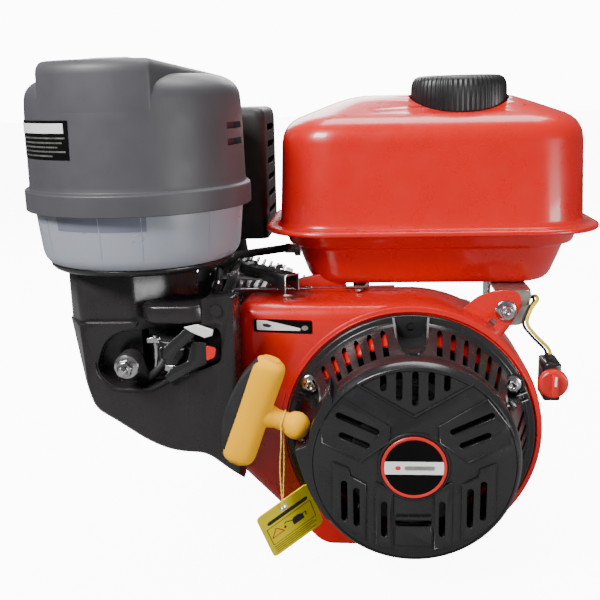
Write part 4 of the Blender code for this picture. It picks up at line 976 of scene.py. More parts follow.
def air_duct():
    body = duct_body()
    cut(body, *duct_pockets())
    soft_edges(body, 1.3, 3, 36)
    ledge = slab("ledge", [(-199.5, -122), (-199.5, -154, 8), (-192, -161.5, 8), (-160, -161.5, 6),
        (-153.8, -158, 2), (-153.8, -122)], 3, 206.4, 220.4, "Z", steps=6)
    soft_edges(ledge, 2.2, 4)
    cup = turned("stud_cup", [(0, 143), (8.8, 143), (8.4, 157), (7.4, 161.6, 1), (0, 161.8)], 0.8, STUD,
        FORWARD, 48)
    ribs = [lathe("cup_rib", [(8, 148 + 3.2 * i), (9.8, 148.4 + 3.2 * i), (9.8, 149.4 + 3.2 * i),
        (8, 150 + 3.2 * i)], STUD, FORWARD, 48, closed=True) for i in range(4)]
    boss = rod("boss", (-143, -160, 216), (-143, -157, 216), 4.2, 32)
    skin = together("air_duct_skin", body, duct_column(), duct_rim(), ledge, cup, *ribs, boss)
    show(skin, DUCT_PLASTIC, stands_for=["air_duct"], angle=34)


def threaded_line(place, direction, radius, length, pitch=1.2):
    steps = int(length / pitch) * 12
    turn = placed(place, direction)
    return [turn @ Vector((radius * cos(2 * pi * i / 12), radius * sin(2 * pi * i / 12),
        length * i / steps)) for i in range(steps + 1)]


def duct_nut():
    start = STUD + FORWARD * 162.2
    flange = lathe("flange", [(0, 0), (9.4, 0), (9.4, 0.9), (8.8, 1.6), (6.6, 2.6), (0, 2.6)], start,
        FORWARD, 64)
    nut = hexagon("nut", placed(start, FORWARD), 11.4, ((2.2, 1), (7.8, 1), (8.7, 0.88)), 12)
    soft_edges(nut, 0.4, 2, 20)
    stud = rod("stud", start, STUD + FORWARD * 176.6, 3.3, 32)
    thread = tube("thread", threaded_line(STUD + FORWARD * 170.6, FORWARD, 3.35, 6), 0.35, 6)
    tip = rod("tip", STUD + FORWARD * 176.6, STUD + FORWARD * 177.6, 3.3, 32, 2.4)
    show(together("duct_nut_skin", flange, nut, stud, thread, tip), STEEL, stands_for=["duct_nut"],
        angle=25)


def lever_plate(name, outline, low, high, width=0.5):
    return soft_edges(slab(name, outline, 1.6, low, high), width, 2)


def choke_lever():
    """A dark arm with a bright tab that points to the right."""
    arm = lever_plate("choke_arm", [(-184, 181), (-176, 179), (-172, 186), (-160, 197), (-156, 203),
        (-164, 206), (-170, 200), (-182, 190)], -164.4, -162.9)
    axle = rod("choke_pin", CHOKE_AXIS + FORWARD * 164, CHOKE_AXIS + FORWARD * 124, 3, 32)
    show(together("choke_lever_skin", arm, axle), BLACK_PLASTIC, "choke_lever", ["choke_lever"])
    tab = loft("choke_tab", [on_plane([(-166.4, 205.4), (-161, 201.6), (-151, 197.2), (-145.4, 199),
        (-144.4, 203.2), (-156, 207.4)], -164.2 - lift, "Y") for lift in (0, 2.4)])
    show(soft_edges(tab, 0.8, 3), WHITE_PLASTIC, "choke_lever")


def fuel_valve_lever():
    arm = lever_plate("valve_arm", [(-184, 166), (-180, 160.6), (-160, 172), (-151, 176), (-151, 192),
        (-162, 193), (-166, 178), (-180, 171)], -161.6, -159.2, 0.8)
    axle = rod("valve_pin", VALVE_AXIS + FORWARD * 159.6, VALVE_AXIS + FORWARD * 124, 4, 32)
    grip = lever_plate("valve_grip", [(-151.6, 178), (-145, 181), (-144, 188), (-151.6, 190)], -161.8, -159,
        1)
    show(grip, RED_PLASTIC, "fuel_valve_lever")
    show(together("fuel_valve_skin", arm, axle), BLACK_PLASTIC, "fuel_valve_lever", ["fuel_valve_lever"])


def valve_stack():
    """The round fuel valve behind the levers: a dark cup with two bright clips and its bright base."""
    at = (-177, -141, 0)
    cup = turned("valve_cup", [(0, 168), (11, 168), (15, 172), (15.4, 191, 1.5), (13, 193), (0, 193)], 1,
        at, UP, 64)
    show(cup, BLACK_PLASTIC)
    clips = [lathe("clip", [(15.2, z), (16.3, z + 0.4), (16.3, z + 1.4), (15.2, z + 1.8)], at, UP, 64,
        closed=True) for z in (190, 184.6)]
    base = turned("valve_base", [(0, 165.4), (13, 165.4), (15.6, 168), (15.6, 173), (0, 173)], 1, at, UP,
        64)
    post = rod("valve_post", (-193, -146, 166), (-193, -146, 194), 2.6, 32)
    lug = soft_edges(block("valve_lug", (-199, -150, 188), (-188, -140, 193)), 1, 2)
    show(together("valve_clips", *clips, base, post, lug), STEEL, angle=30)
    spout = tube("valve_spout", route([(-186, -150, 176), (-190, -154, 170), (-196, -152, 164),
        (-199, -146, 158)]), 2.6, 16)
    show(spout, RUBBER)
    knob = turned("choke_knob", [(0, 0), (6.6, 0), (6.6, 7), (0, 7)], 1.6, (-150.5, -150, 205), FORWARD, 48)
    show(knob, BLACK_PLASTIC)


air_bowl()
air_cap()
cap_label()
air_filter()
air_duct()
duct_nut()
choke_lever()
fuel_valve_lever()
valve_stack()


# Fuel tank

CAP_AT = Vector((42, -35, 0))
TANK_LOW, TANK_HIGH = Vector((-104, -97, 215)), Vector((141, 62, 350))


def tank_outline(inset, radius, steps=14):
    """A rectangle with round corners."""
    x0, x1 = TANK_LOW.x + inset, TANK_HIGH.x - inset
    y0, y1 = TANK_LOW.y + inset, TANK_HIGH.y - inset
    out = []
    corners = ((x1, y1, 0), (x0, y1, 90), (x0, y0, 180), (x1, y0, 270))
    for x, y, start in corners:
        cx = x - radius if x == x1 else x + radius
        cy = y - radius if y == y1 else y + radius
        out += arc_points(radius, start, start + 90, steps, cx, cy)
    return out


# Each ring of the tank: its height, how far it is drawn in, and its corner radius
TANK_LEVELS = ((215, 60, 12), (215, 40, 22), (215.2, 31, 27), (215.9, 28, 28), (217.2, 25.6, 29),
    (219.4, 23.6, 30), (222.4, 21.8, 31), (234, 17.6, 33.5), (245, 13.8, 35.6), (246.4, 13.2, 36),
    (247.4, 11.6, 37), (247.9, 9, 38.4), (248.6, 7.4, 39.6), (250, 6.4, 40.2), (257.4, 4.4, 41.6),
    (258.6, 3.6, 42), (259.2, 2, 43), (259.4, -1, 45), (259.5, -9.6, 52.6), (259.9, -11.2, 53.6),
    (260.8, -11.9, 54), (262, -12, 54), (263, -11.7, 53.8), (263.8, -10.9, 53.2), (264.1, -9.8, 52.4),
    (263.9, -7.6, 50.6), (263.7, -3.4, 47), (264.4, -1.4, 45.4), (266.4, -0.3, 44.6), (269, 0.2, 44.2),
    (330, 2.6, 44), (336, 3.6, 43.6), (340.6, 5.6, 42.8), (344.2, 8.2, 41.4), (347.2, 11.8, 39.4),
    (349.6, 16.2, 37), (351.8, 22, 34), (354.4, 29, 30.5), (357.4, 37, 26.5), (360.4, 45.6, 22),
    (363, 54, 17), (364.6, 62, 12), (365.4, 68, 8), (365.6, 74, 4),)


def fuel_tank():
    rings = [on_plane(tank_outline(inset, radius), z, "Z") for z, inset, radius in TANK_LEVELS]
    tank = loft("tank", rings)
    cut(tank, rod("cap_well", CAP_AT + UP * 351.2, CAP_AT + UP * 380, 40.4, 96))
    soft_edges(tank, 0.7, 3, 50)
    neck = lathe("neck", rounded_profile([(36, 349), (36, 350.6, 1), (30, 351.4, 2), (26.4, 353, 1.5),
        (26, 364, 0.8), (23, 364, 0.8), (23, 338)], 0.6) + [(36, 338)], CAP_AT, UP, 96)
    tank = together("fuel_tank_skin", tank, neck)
    show(tank, RED_PAINT, stands_for=["fuel_tank"], angle=60)
    drain = turned("outlet", [(0, 0), (7, 0), (7, 5), (4.4, 6), (4.4, 14), (0, 14)], 0.5, (-93, 5, 232),
        (-1, 0, 0), 40)
    show(drain, ZINC)


def fuel_cap():
    """A fluted cap with a ribbed skirt and a raised bar across its top."""
    flutes = 60
    rings = []
    for z, r, deep in ((352, 38.4, 0.9), (353.4, 39, 1.1), (371, 38.4, 1.1), (375.4, 37.4, 0.9),
            (378.2, 35.4, 0.5), (379.6, 32.6, 0.1), (380, 29, 0), (380, 20, 0), (379.2, 17.4, 0),
            (379.2, 6, 0)):
        ring = []
        for i in range(flutes * 4):
            t = 2 * pi * i / (flutes * 4)
            k = r - deep * (1 if i % 4 in (0, 1) else 0)
            ring.append(CAP_AT + Vector((k * cos(t), k * sin(t), z)))
        rings.append(ring)
    cap = loft("cap", rings)
    bar = soft_edges(block("bar", (20, -39.5, 376), (64, -30.5, 379.9)), 1.4, 3)
    show(together("fuel_cap_skin", cap, bar), CAP_BLACK, "fuel_cap", ["fuel_cap"], 30)


def tank_brackets():
    plate = slab("right_plate", [(68, -94, 1), (96, -94, 6), (96, -18, 6), (68, -18, 1)], 3, 212, 214.7,
        "Z")
    tab = slab("right_tab", [(64, 214), (64, 192, 4), (72, 186, 4), (92, 186, 8), (96, 214)], 3, -94.2,
        -91.6)
    leg = slab("right_leg", [(-50, 170.4), (-50, 213), (-18, 213), (-24, 170.4)], 3, 68, 70.6, "X")
    cut(tab, rod("tab_hole", (80, -100, 200), (80, -88, 200), 3.6, 24))
    show(soft_edges(together("bracket_right", plate, tab, leg), 0.6, 2), ZINC,
        stands_for=["tank_bracket_right"])
    plate = slab("left_plate", [(-74, -34, 8), (-42, -34, 2), (-42, 10, 2), (-74, 10, 8)], 3, 211.6, 214.7,
        "Z")
    cut(plate, prism("oval", [(-60 + a, -20 + b) for a, b in turned_outline(capsule(13, 7), 50)], 205, 220,
        "Z"))
    leg = slab("left_leg", [(-30, 172), (-30, 213), (10, 213), (4, 172)], 3, -45, -42.2, "X")
    show(soft_edges(together("bracket_left", plate, leg), 0.6, 2), BLACK_PAINT,
        stands_for=["tank_bracket_left"])
    flange_bolt("tank_bolt_skin", (76, -96.4, 199), FORWARD, 9, 16.6, 5.4, ["tank_bolt"])
    flange_bolt("left_bracket_bolt", (-66, -6, 210.6), (0, 0, -1), 8, 13, 4)


def fuel_hose():
    port_z = 177.85
    knots = [(-93.4, 5, 232), (-104, 4, 232.5), (-120, -2, 231.5), (-136, -12, 231), (-149, -28, 231.5),
        (-157, -48, 226), (-158, -68, 214), (-160, -84, 204), (-160.5, -86, port_z + 16)]
    hose = tube("fuel_hose_skin", route(knots), 3.6, 24)
    show(hose, RUBBER, stands_for=["fuel_hose"], angle=60)
    for start, end in ((knots[1], knots[2]), (knots[6], knots[7])):
        middle, way = Vector(start), (Vector(end) - Vector(start)).normalized()
        ring = lathe("clip", [(3.4, -1.6), (4.4, -1.6), (4.4, 1.6), (3.4, 1.6)], middle, way, 32,
            closed=True)
        show(ring, STEEL)


fuel_tank()
fuel_cap()
tank_brackets()
fuel_hose()


# Handle, rope, string and tag

def swept_ring(middle, a, b, wide, deep, steps=40, flat=0.0):
    """An oval ring; flat squares it off a little."""
    ring = []
    for i in range(steps):
        t = 2 * pi * i / steps
        c, s = cos(t), sin(t)
        k = 1 + flat * (abs(c * s) ** 1.5)
        ring.append(middle + a * wide * c * k + b * deep * s * k)
    return ring


def grip_body():
    """The cross bar: a little waisted, with rounded ends."""
    rings = []
    half, steps = 43, 40
    for i in range(steps + 1):
        t = -1 + 2 * i / steps
        h = half * sin(t * pi / 2)
        end = min(1.0, sqrt(max(0.0, 1 - (abs(h) / half) ** 16)))
        wide = (12.6 - 0.2 * cos(h / half * pi)) * max(0.5, end)
        deep = 12.3 * max(0.5, end)
        rings.append(swept_ring(GRIP + GRIP_UP * h, STEM, BACK, wide, deep, flat=0.18))
    return loft("grip", rings)


def stem_body():
    rings = []
    for s, r in ((4, 10), (11, 9.2), (14, 8.3), (18, 7.2), (25, 7.2), (27.6, 8.2), (29.4, 9.0)):
        rings.append(swept_ring(GRIP + STEM * s, GRIP_UP, BACK, r, r))
    ball = turned("ball", [(0, -10.4), (5, -9.6), (9.4, -5), (10.6, 0), (9.6, 5), (6, 8.8), (3, 10.2),
        (3, 6), (0, 6)], 4, GRIP + STEM * 33, STEM, 64, steps=8)
    return unite(loft("stem", rings), ball)


def starter_handle():
    grip = unite(grip_body(), stem_body())
    turn = Matrix.Translation(GRIP) @ Matrix.Rotation(radians(20), 4, "Y")
    room = slab("insert_room", [(-30, 41), (-10, 41, 2), (-5.2, 38, 3), (-5.2, -32, 3), (-9, -38, 4),
        (-30, -38)], 2, -7.4, 7.4)
    moved(room, turn)
    cut(grip, room)
    smoothing = grip.modifiers.new("edge", "BEVEL")
    smoothing.width = 0.5 * MM
    smoothing.segments = 2
    smoothing.limit_method = "ANGLE"
    smoothing.angle_limit = radians(40)
    show(grip, YELLOW_PLASTIC, "starter_handle", ["starter_handle"], 45)
    insert = slab("insert", [(-5.5, 38.5, 2), (-10.5, 38.5, 3), (-17, 24, 14), (-20.8, 0, 30),
        (-19, -18, 14), (-13.5, -33, 5), (-8, -36.5, 2), (-5.5, -33, 2)], 4, -7.1, 7.1, steps=8)
    moved(insert, turn)
    show(soft_edges(insert, 1.6, 4), RUBBER, "starter_handle", ["handle_insert"])


def starter_rope():
    """Two-ply rope from the ball to inside the housing."""
    start, end = GRIP + STEM * 38, GRIP + STEM * 54
    steps = 60
    place = placed(start, STEM)
    plies = []
    for phase in (0, pi):
        line = [place @ Vector((0.95 * cos(phase + 9 * pi * i / steps),
            0.95 * sin(phase + 9 * pi * i / steps), 16 * i / steps)) for i in range(steps + 1)]
        plies.append(tube("ply", line, 1.15, 10))
    rope = together("starter_rope_skin", *plies)
    rope.data.materials.append(ROPE)
    smooth(rope, 60)
    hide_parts("starter_rope")
    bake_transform(rope)


TAG_HOLE = Vector((-97, -168, 64))
TAG_WIDE = Vector((0.80, 0.45, 0.42)).normalized()
TAG_FACE = TAG_WIDE.cross(Vector((-0.09, -0.45, 0.88))).normalized() * -1
TAG_UP = TAG_WIDE.cross(TAG_FACE)


def on_tag(x, z, lift=0.0):
    """A place on the card, with lift away from its front."""
    return TAG_HOLE + TAG_WIDE * x + TAG_UP * z + TAG_FACE * (-0.4 - lift)


def tag_sheet(name, outline, back, front):
    return loft(name, [[on_tag(x, z, level) for x, z in outline] for level in (back, front)])


def tag_line(points, width=0.55):
    pieces = []
    for (x0, z0), (x1, z1) in zip(points, points[1:]):
        length = sqrt((x1 - x0) ** 2 + (z1 - z0) ** 2)
        lean = atan2(z1 - z0, x1 - x0) * 180 / pi
        outline = turned_outline(capsule(length + width, width, 4), lean, (x0 + x1) / 2, (z0 + z1) / 2)
        pieces.append(tag_sheet("line", outline, 0.0, 0.12))
    return pieces


def oil_tag():
    card = tag_sheet("card", rounded_outline([(-23, 8), (25, 8), (25, -49), (-23, -49)], 5, 6), -0.8, 0.0)
    cut(card, rod("tag_hole", TAG_HOLE - TAG_FACE * 4, TAG_HOLE + TAG_FACE * 4, 2.6, 32))
    show(card, CARD, "oil_tag", ["oil_tag"], 40)
    eyelet = lathe("eyelet", [(2.2, -0.7), (3.4, -0.6), (3.4, 0.6), (2.2, 0.7)], TAG_HOLE, TAG_FACE, 32,
        closed=True)
    show(eyelet, WHITE_PRINT, "oil_tag")
    frame = tag_line([(-19, -12), (21, -12), (21, -34), (-19, -34), (-19, -12)])
    can = tag_sheet("can", rounded_outline([(2, -27), (12, -27), (12, -20.5), (8, -18), (4, -18), (2, -20)],
        0.8), 0.0, 0.12)
    spout = tag_line([(2.4, -20.5), (-3.4, -17), (-4.4, -18.2)], 0.9)
    handle = tag_line([(12, -20.6), (14.6, -20.6), (14.2, -25)], 0.8)
    drop = tag_sheet("drop", rounded_outline([(-6.4, -22.6), (-5, -20), (-3.8, -22.6), (-5, -24)], 0.5),
        0.0, 0.12)
    rows = []
    for z, low, high in ((-37, -19, 17), (-39.6, -19, 20), (-42.2, -19, 14), (-44.8, -19, 18)):
        rows += tag_line([(low, z), (high, z)], 0.7)
    header = tag_line([(-15, -6.6), (18, -6.6)], 4.4)
    ink = together("tag_print", *frame, can, *spout, *handle, drop, *rows, *header)
    show(ink, INK, "oil_tag", angle=30)
    mark = tag_line([(-17.5, -25.4), (-12, -16.4), (-6.6, -25.4), (-17.5, -25.4)], 0.9)
    show(together("tag_mark", *mark), RED_INK, "oil_tag", angle=30)


def string_knots():
    """The string's own route: a loop from the stem down through the card's hole."""
    stem, low = GRIP + STEM * 22, TAG_HOLE
    return [stem + Vector((0, -8.4, 1)), stem + Vector((0, -8.8, -12)), low + Vector((-1, -7, 34)),
        low + Vector((0, -7.5, 8)), low + Vector((0, -3.5, 0)), low + Vector((0, 0, -0.6)),
        low + Vector((0, 2.2, 1.5)), low + Vector((0, 0.5, 10)), low + Vector((1, 4, 34)),
        stem + Vector((0, 8.8, -12)), stem + Vector((0, 8.4, 1))]


def twisted(points, offset, radius, sense=1.9):
    """Two strands laid round a line."""
    strands = []
    for phase in (0, pi):
        line = []
        for i, p in enumerate(points):
            ahead = points[min(i + 1, len(points) - 1)] - points[max(i - 1, 0)]
            side = ahead.cross(Vector((0.3, 0.1, 0.2))).normalized()
            other = ahead.cross(side).normalized()
            angle = sense * i + phase
            line.append(p + (side * cos(angle) + other * sin(angle)) * offset)
        strands.append(tube("strand", line, radius, 8))
    return strands


def tag_string():
    points = route(string_knots(), 10)
    string = together("tag_string_skin", *twisted(points, 0.24, 0.36))
    show(string, STRING, "oil_tag", ["tag_string"], 60)
    stem = GRIP + STEM * 22
    turn = [stem + (GRIP_UP * sin(t) + BACK * cos(t)) * 7.9 for t in (radians(-10 + 200 * i / 20)
        for i in range(21))]
    show(together("string_loop", *twisted(turn, 0.22, 0.34)), STRING, "starter_handle", angle=60)


starter_handle()
starter_rope()
oil_tag()
tag_string()


# Cylinder's own directions

TILT = radians(25)
ALONG = Vector((-cos(TILT), 0, sin(TILT)))
ACROSS = Vector((sin(TILT), 0, cos(TILT)))
PORT = CRANK_AT + ALONG * 170


def on_cylinder(s, across=0.0, y=5.0):
    return CRANK_AT + ALONG * s + ACROSS * across + Vector((0, y, 0))


# Throttle, governor and their springs

LEVER = Vector((-130, -62, 231))
LEVER_WAY = Vector((38, -42, 0)).normalized()
GOVERNOR = Vector((-36, -40, 0))
GOVERNOR_TIP = Vector((-40, -77, 0))
LINK_START = Vector((-40, -77, 214.4))
LINK_END = Vector((-139, -85, 214.4))
LINK_WAY = (LINK_END - LINK_START).normalized()


def on_lever(x, y, z):
    side = Vector((-LEVER_WAY.y, LEVER_WAY.x, 0))
    return LEVER + LEVER_WAY * x + side * y + Vector((0, 0, z))


def throttle_lever():
    section = [(-6.8, -7.4), (-6.8, -1.2), (-5.6, 0), (5.6, 0), (6.8, -1.2), (6.8, -7.4), (5.3, -7.4),
        (5.3, -1.7), (-5.3, -1.7), (-5.3, -7.4)]

    def section_at(x):
        deeper = 1 + 0.85 * max(0.0, (x - 22) / 34.5)
        return [on_lever(x, y * (1 + 0.12 * (deeper - 1)), z * deeper if z < -2 else z) for y, z in section]

    channel = loft("channel", [section_at(x) for x in (-6, 10, 22, 30, 56.5)])
    soft_edges(channel, 0.4, 2)
    pivot = rod("pivot", (LEVER.x, LEVER.y, 223), (LEVER.x, LEVER.y, 233), 4.4, 32)
    hole = lathe("lever_hole", [(2.2, 0), (3.4, 0.2), (3.4, -0.4), (2.2, -0.4)], on_lever(46, 0, 0.1), UP,
        32, closed=True)
    show(together("throttle_lever_skin", channel, pivot, hole), BLACK_PAINT, "throttle_lever",
        ["throttle_lever"])
    line = [on_lever(56.7, y, z) for y, z in ((-6.6, -13.6), (-6.6, -1.4), (-5.2, -0.4), (5.2, -0.4),
        (6.6, -1.4), (6.6, -13.6))]
    show(tube("lever_cut_end", line, 0.62, 8), STEEL, "throttle_lever")
    over = Matrix.Translation((LEVER.x, LEVER.y, 0))
    nut = hexagon("lever_nut", over, 9, ((231.2, 1), (233.3, 1), (233.9, 0.86)), 8)
    show(nut, STEEL, "throttle_lever", angle=25)


def control_bracket():
    plate = slab("control_plate", [(-140, -74, 3), (-134, -78, 3), (-106, -78, 4), (-104, -74, 2),
        (-104, -46, 1), (-136, -46, 3), (-140, -52, 3)], 2, 220.5, 222.4, "Z")
    leg = prism("control_leg", [(-118, 212.2), (-104, 212.2), (-104, 222.4), (-118, 222.4)], -46.9, -44.7)
    stop = slab("control_stop", [(-78, 221), (-78, 228, 2), (-70, 230, 2), (-70, 221)], 1, -140, -138.4,
        "X")
    cut(plate, rod("plate_hole", (-112, -70, 215), (-112, -70, 228), 2.6, 24))
    show(soft_edges(together("control_bracket_skin", plate, leg, stop), 0.4, 2), ZINC,
        stands_for=["control_bracket"])
    screw = rod("stop_screw", (-148, -74.5, 225), (-137, -74.5, 225), 1.5, 24)
    thread = tube("stop_thread", threaded_line((-147, -74.5, 225), (1, 0, 0), 1.55, 9, 0.8), 0.22, 5)
    head = loft("stop_head", [[Vector((x, -74.5 + a * k, 225 + b * k)) for a, b in hex_outline(6.4, 10)]
        for x, k in ((-152, 0.86), (-151.5, 1), (-148, 1))])
    show(together("stop_screw_all", screw, thread, head), STEEL, angle=25)
    spring = tube("stop_spring", coil_line((-147.6, -74.5, 225), (-140.6, -74.5, 225), 2.6, 5), 0.4, 8)
    show(spring, STEEL)
    wing()


def wing():
    """The wing nut that clamps the control plate, and its washer."""
    at = Vector((-113, -55, 222.6))
    washer = turned("wing_washer", [(0, 0), (6, 0), (6, 1.1), (0, 1.1)], 0.3, at, UP, 40)
    hub = turned("wing_hub", [(0, 1), (4.2, 1), (3.2, 5.4), (0, 5.6)], 0.6, at, UP, 40)
    blades = []
    for side in (1, -1):
        outline = rounded_outline([(0.6 * side, 1.6), (4 * side, 1.6), (9.4 * side, 3.4), (9.6 * side, 6.8),
            (7.4 * side, 7), (2.4 * side, 4.6), (0.6 * side, 4.6)], 0.8)
        blades.append(prism("blade", [(at.x + x, at.z + z) for x, z in outline], at.y - 0.7, at.y + 0.7))
    show(together("wing_nut", washer, hub, *blades), STEEL, angle=30)


def governor_arm():
    way = (GOVERNOR_TIP - GOVERNOR).normalized()
    side = Vector((-way.y, way.x, 0))
    widths = ((-7, 0), (-5, 5), (0, 6), (20, 4), (36, 3.2), (40, 2), (41, 0))
    outline = [(GOVERNOR + way * s, w) for s, w in widths]
    ring = [(p + side * w).to_2d()[:] for p, w in outline] + [(p - side * w).to_2d()[:]
        for p, w in outline[-2:0:-1]]
    arm = prism("governor_plate", ring, 210.9, 212.7, "Z")
    shaft = rod("governor_shaft", GOVERNOR + UP * 170.6, GOVERNOR + UP * 214.2, 3.8, 32)
    nut = hexagon("governor_nut", Matrix.Translation(GOVERNOR), 9, ((207, 1), (210.8, 1)))
    show(together("governor_arm_skin", soft_edges(arm, 0.3, 2), shaft, nut), ZINC, "governor_arm",
        ["governor_arm"], 30)


def governor_links():
    knots = [LINK_START - LINK_WAY * 29.5, LINK_START - LINK_WAY * 10, LINK_START,
        LINK_START + LINK_WAY * 50, LINK_END, LINK_END + Vector((-3.6, -0.4, -0.9)),
        LINK_END + Vector((-4.6, -0.5, -5))]
    link = tube("governor_rod_skin", route(knots), 0.95, 12)
    show(link, STEEL, "governor_rod", ["governor_rod"], 60)
    start = LINK_START + LINK_WAY * 38.4
    spring = tube("governor_spring_skin", coil_line(start, start + LINK_WAY * 29.2, 1.85, 22, 12), 0.36, 7)
    show(spring, STEEL, "governor_rod", ["governor_spring"], 60)


def control_cluster():
    """The carburettor's plates, screws with their springs and knob above the intake."""
    top = PORT.z + 18
    plate = slab("cluster_plate", [(-172, -96, 3), (-172, -78, 3), (-150, -70, 4), (-138, -72, 3),
        (-138, -88, 4), (-148, -96, 3)], 2, top + 1.5, top + 3, "Z")
    tabs = [slab("cluster_tab", [(-152, top), (-152, top + 17, 3), (-145, top + 17, 3), (-143, top)], 1,
        -92, -90.6), slab("cluster_rise", [(-88, top), (-88, top + 12, 3), (-78, top + 14, 3), (-76, top)],
        1, -139.6, -138.4, "X")]
    show(soft_edges(together("cluster_plates", plate, *tabs), 0.3, 2), ZINC)
    screws = []
    for x, y, tall in ((-166, -90, 9), (-155, -82, 13), (-145, -78, 8)):
        screws.append(turned("screw", [(0, 0), (3.4, 0), (3.4, tall - 2), (2.6, tall), (0, tall)], 0.4,
            (x, y, top + 2.8), UP, 32))
        screws.append(tube("screw_spring", coil_line((x, y, top + 3), (x, y, top + tall), 4.2, 5), 0.42, 8))
    show(together("cluster_screws", *screws), STEEL, angle=30)
    knob = turned("idle_knob", [(0, 0), (4.6, 0), (5, 2), (5, 8), (4, 9.4), (0, 9.6)], 0.8,
        (-147, -95, top + 8), (-0.2, -1, 0.12), 40)
    show(knob, BLACK_PLASTIC)


throttle_lever()
control_bracket()
governor_arm()
governor_links()
control_cluster()


# Engine switch and its wires

SWITCH = Vector((111, -112, 145))


def switch():
    low, high = (104.6, -111.8, 129.2), (117.8, -86.2, 159.8)
    base = soft_edges(block("switch_case", low, high), 1.6, 4)
    tongue = block("switch_tongue", (104.4, -107, 136), (107.8, -91, 153))
    collar = turned("switch_collar", [(7.6, -0.6), (6.4, -0.1), (5, -0.1)], 0.1, SWITCH, FORWARD, 48)
    bars = [block("switch_bar", (117.6, -106 + 6 * i, 134), (118, -103 + 6 * i, 155)) for i in range(3)]
    show(together("switch_base_skin", base, tongue, collar, *bars), BLACK_PLASTIC,
        stands_for=["switch_base"])
    rocker = turned("rocker", [(0, -0.1), (11.6, -0.1), (11.6, 4.4), (10, 6), (0, 6.2)], 1,
        SWITCH + FORWARD * 0.4, FORWARD, 64, steps=5)
    bar = prism("rocker_bar",
        [(SWITCH.x + a, SWITCH.z + b) for a, b in turned_outline(rounded_outline([(-8.6, -2.5), (8.6, -2.5),
        (8.6, 2.5), (-8.6, 2.5)], 1.4), 90)], -124, -116.4)
    soft_edges(bar, 0.9, 3)
    grips = [block("grip_line", (SWITCH.x - 2.7, -123, SWITCH.z - 6 + 3 * i),
        (SWITCH.x + 2.7, -117, SWITCH.z - 5.2 + 3 * i)) for i in range(5)]
    show(together("switch_knob_skin", rocker, bar, *grips), RED_PLASTIC, "switch_knob", ["switch_knob"],
        32)
    mark = block("switch_mark", (SWITCH.x - 0.8, -124.2, SWITCH.z + 0.5),
        (SWITCH.x + 0.8, -123.9, SWITCH.z + 8))
    show(mark, WHITE_PRINT, "switch_knob")


def switch_wires():
    knots = [(111, -98, 159.4), (110, -99, 168), (99, -104, 180), (91, -106, 191), (94, -104, 202),
        (101, -92, 207), (102, -66, 203), (94, -46, 188), (84, -36, 168), (78, -34, 154), (72.7, -34, 151)]
    wire = tube("switch_lead_skin", route(knots), 1.35, 14)
    show(wire, YELLOW_WIRE, stands_for=["switch_lead"], angle=60)
    sleeve = tube("lead_sleeve", route([(111, -98, 159.6), (110.6, -98.4, 164)]), 2.4, 20)
    show(sleeve, RUBBER)
    other = [(x - 2.4, y + 2.8, z - 1.5 if i else z) for i, (x, y, z) in enumerate(knots[:-1])]
    other.append((72.6, -31, 149.5))
    show(tube("ground_lead", route(other), 1.1, 12), RUBBER, angle=60)


switch()
switch_wires()


# Cylinder, crankcase and covers

FOOT_HOLES = [(x, y) for x in (-81, 81) for y in (-37.75, 37.75)]
FLANGE_BOLTS = ((-62, 20), (-62, 84), (-62, 160), (0, 163), (62, 160), (62, 84), (62, 20), (0, 17))


def tilted(name, s0, s1, outline, radius=4):
    """A plate across the cylinder from s0 to s1. The outline is in across and along the shaft."""
    ring = rounded_outline([(a, y, radius) for a, y in outline], radius, 5)
    return loft(name, [[on_cylinder(s, a, 5 + y) for a, y in ring] for s in (s0, s1)])


def tilted_square(name, s0, s1, across, half_y, radius=5):
    return tilted(name, s0, s1, [(-across, -half_y), (across, -half_y), (across, half_y),
        (-across, half_y)], radius)


def fins(name, starts, across, half_y, thick=2.6):
    made = []
    for i, s in enumerate(starts):
        fin = tilted_square(name, s, s + thick, across - i * 0.8, half_y, 8)
        made.append(soft_edges(fin, 0.7, 2))
    return made


def wall_box(name, low, high, radius, width):
    outline = rounded_outline([(low[0], low[2]), (high[0], low[2]), (high[0], high[2]), (low[0], high[2])],
        radius, 6)
    return soft_edges(prism(name, outline, low[1], high[1]), width, 3)


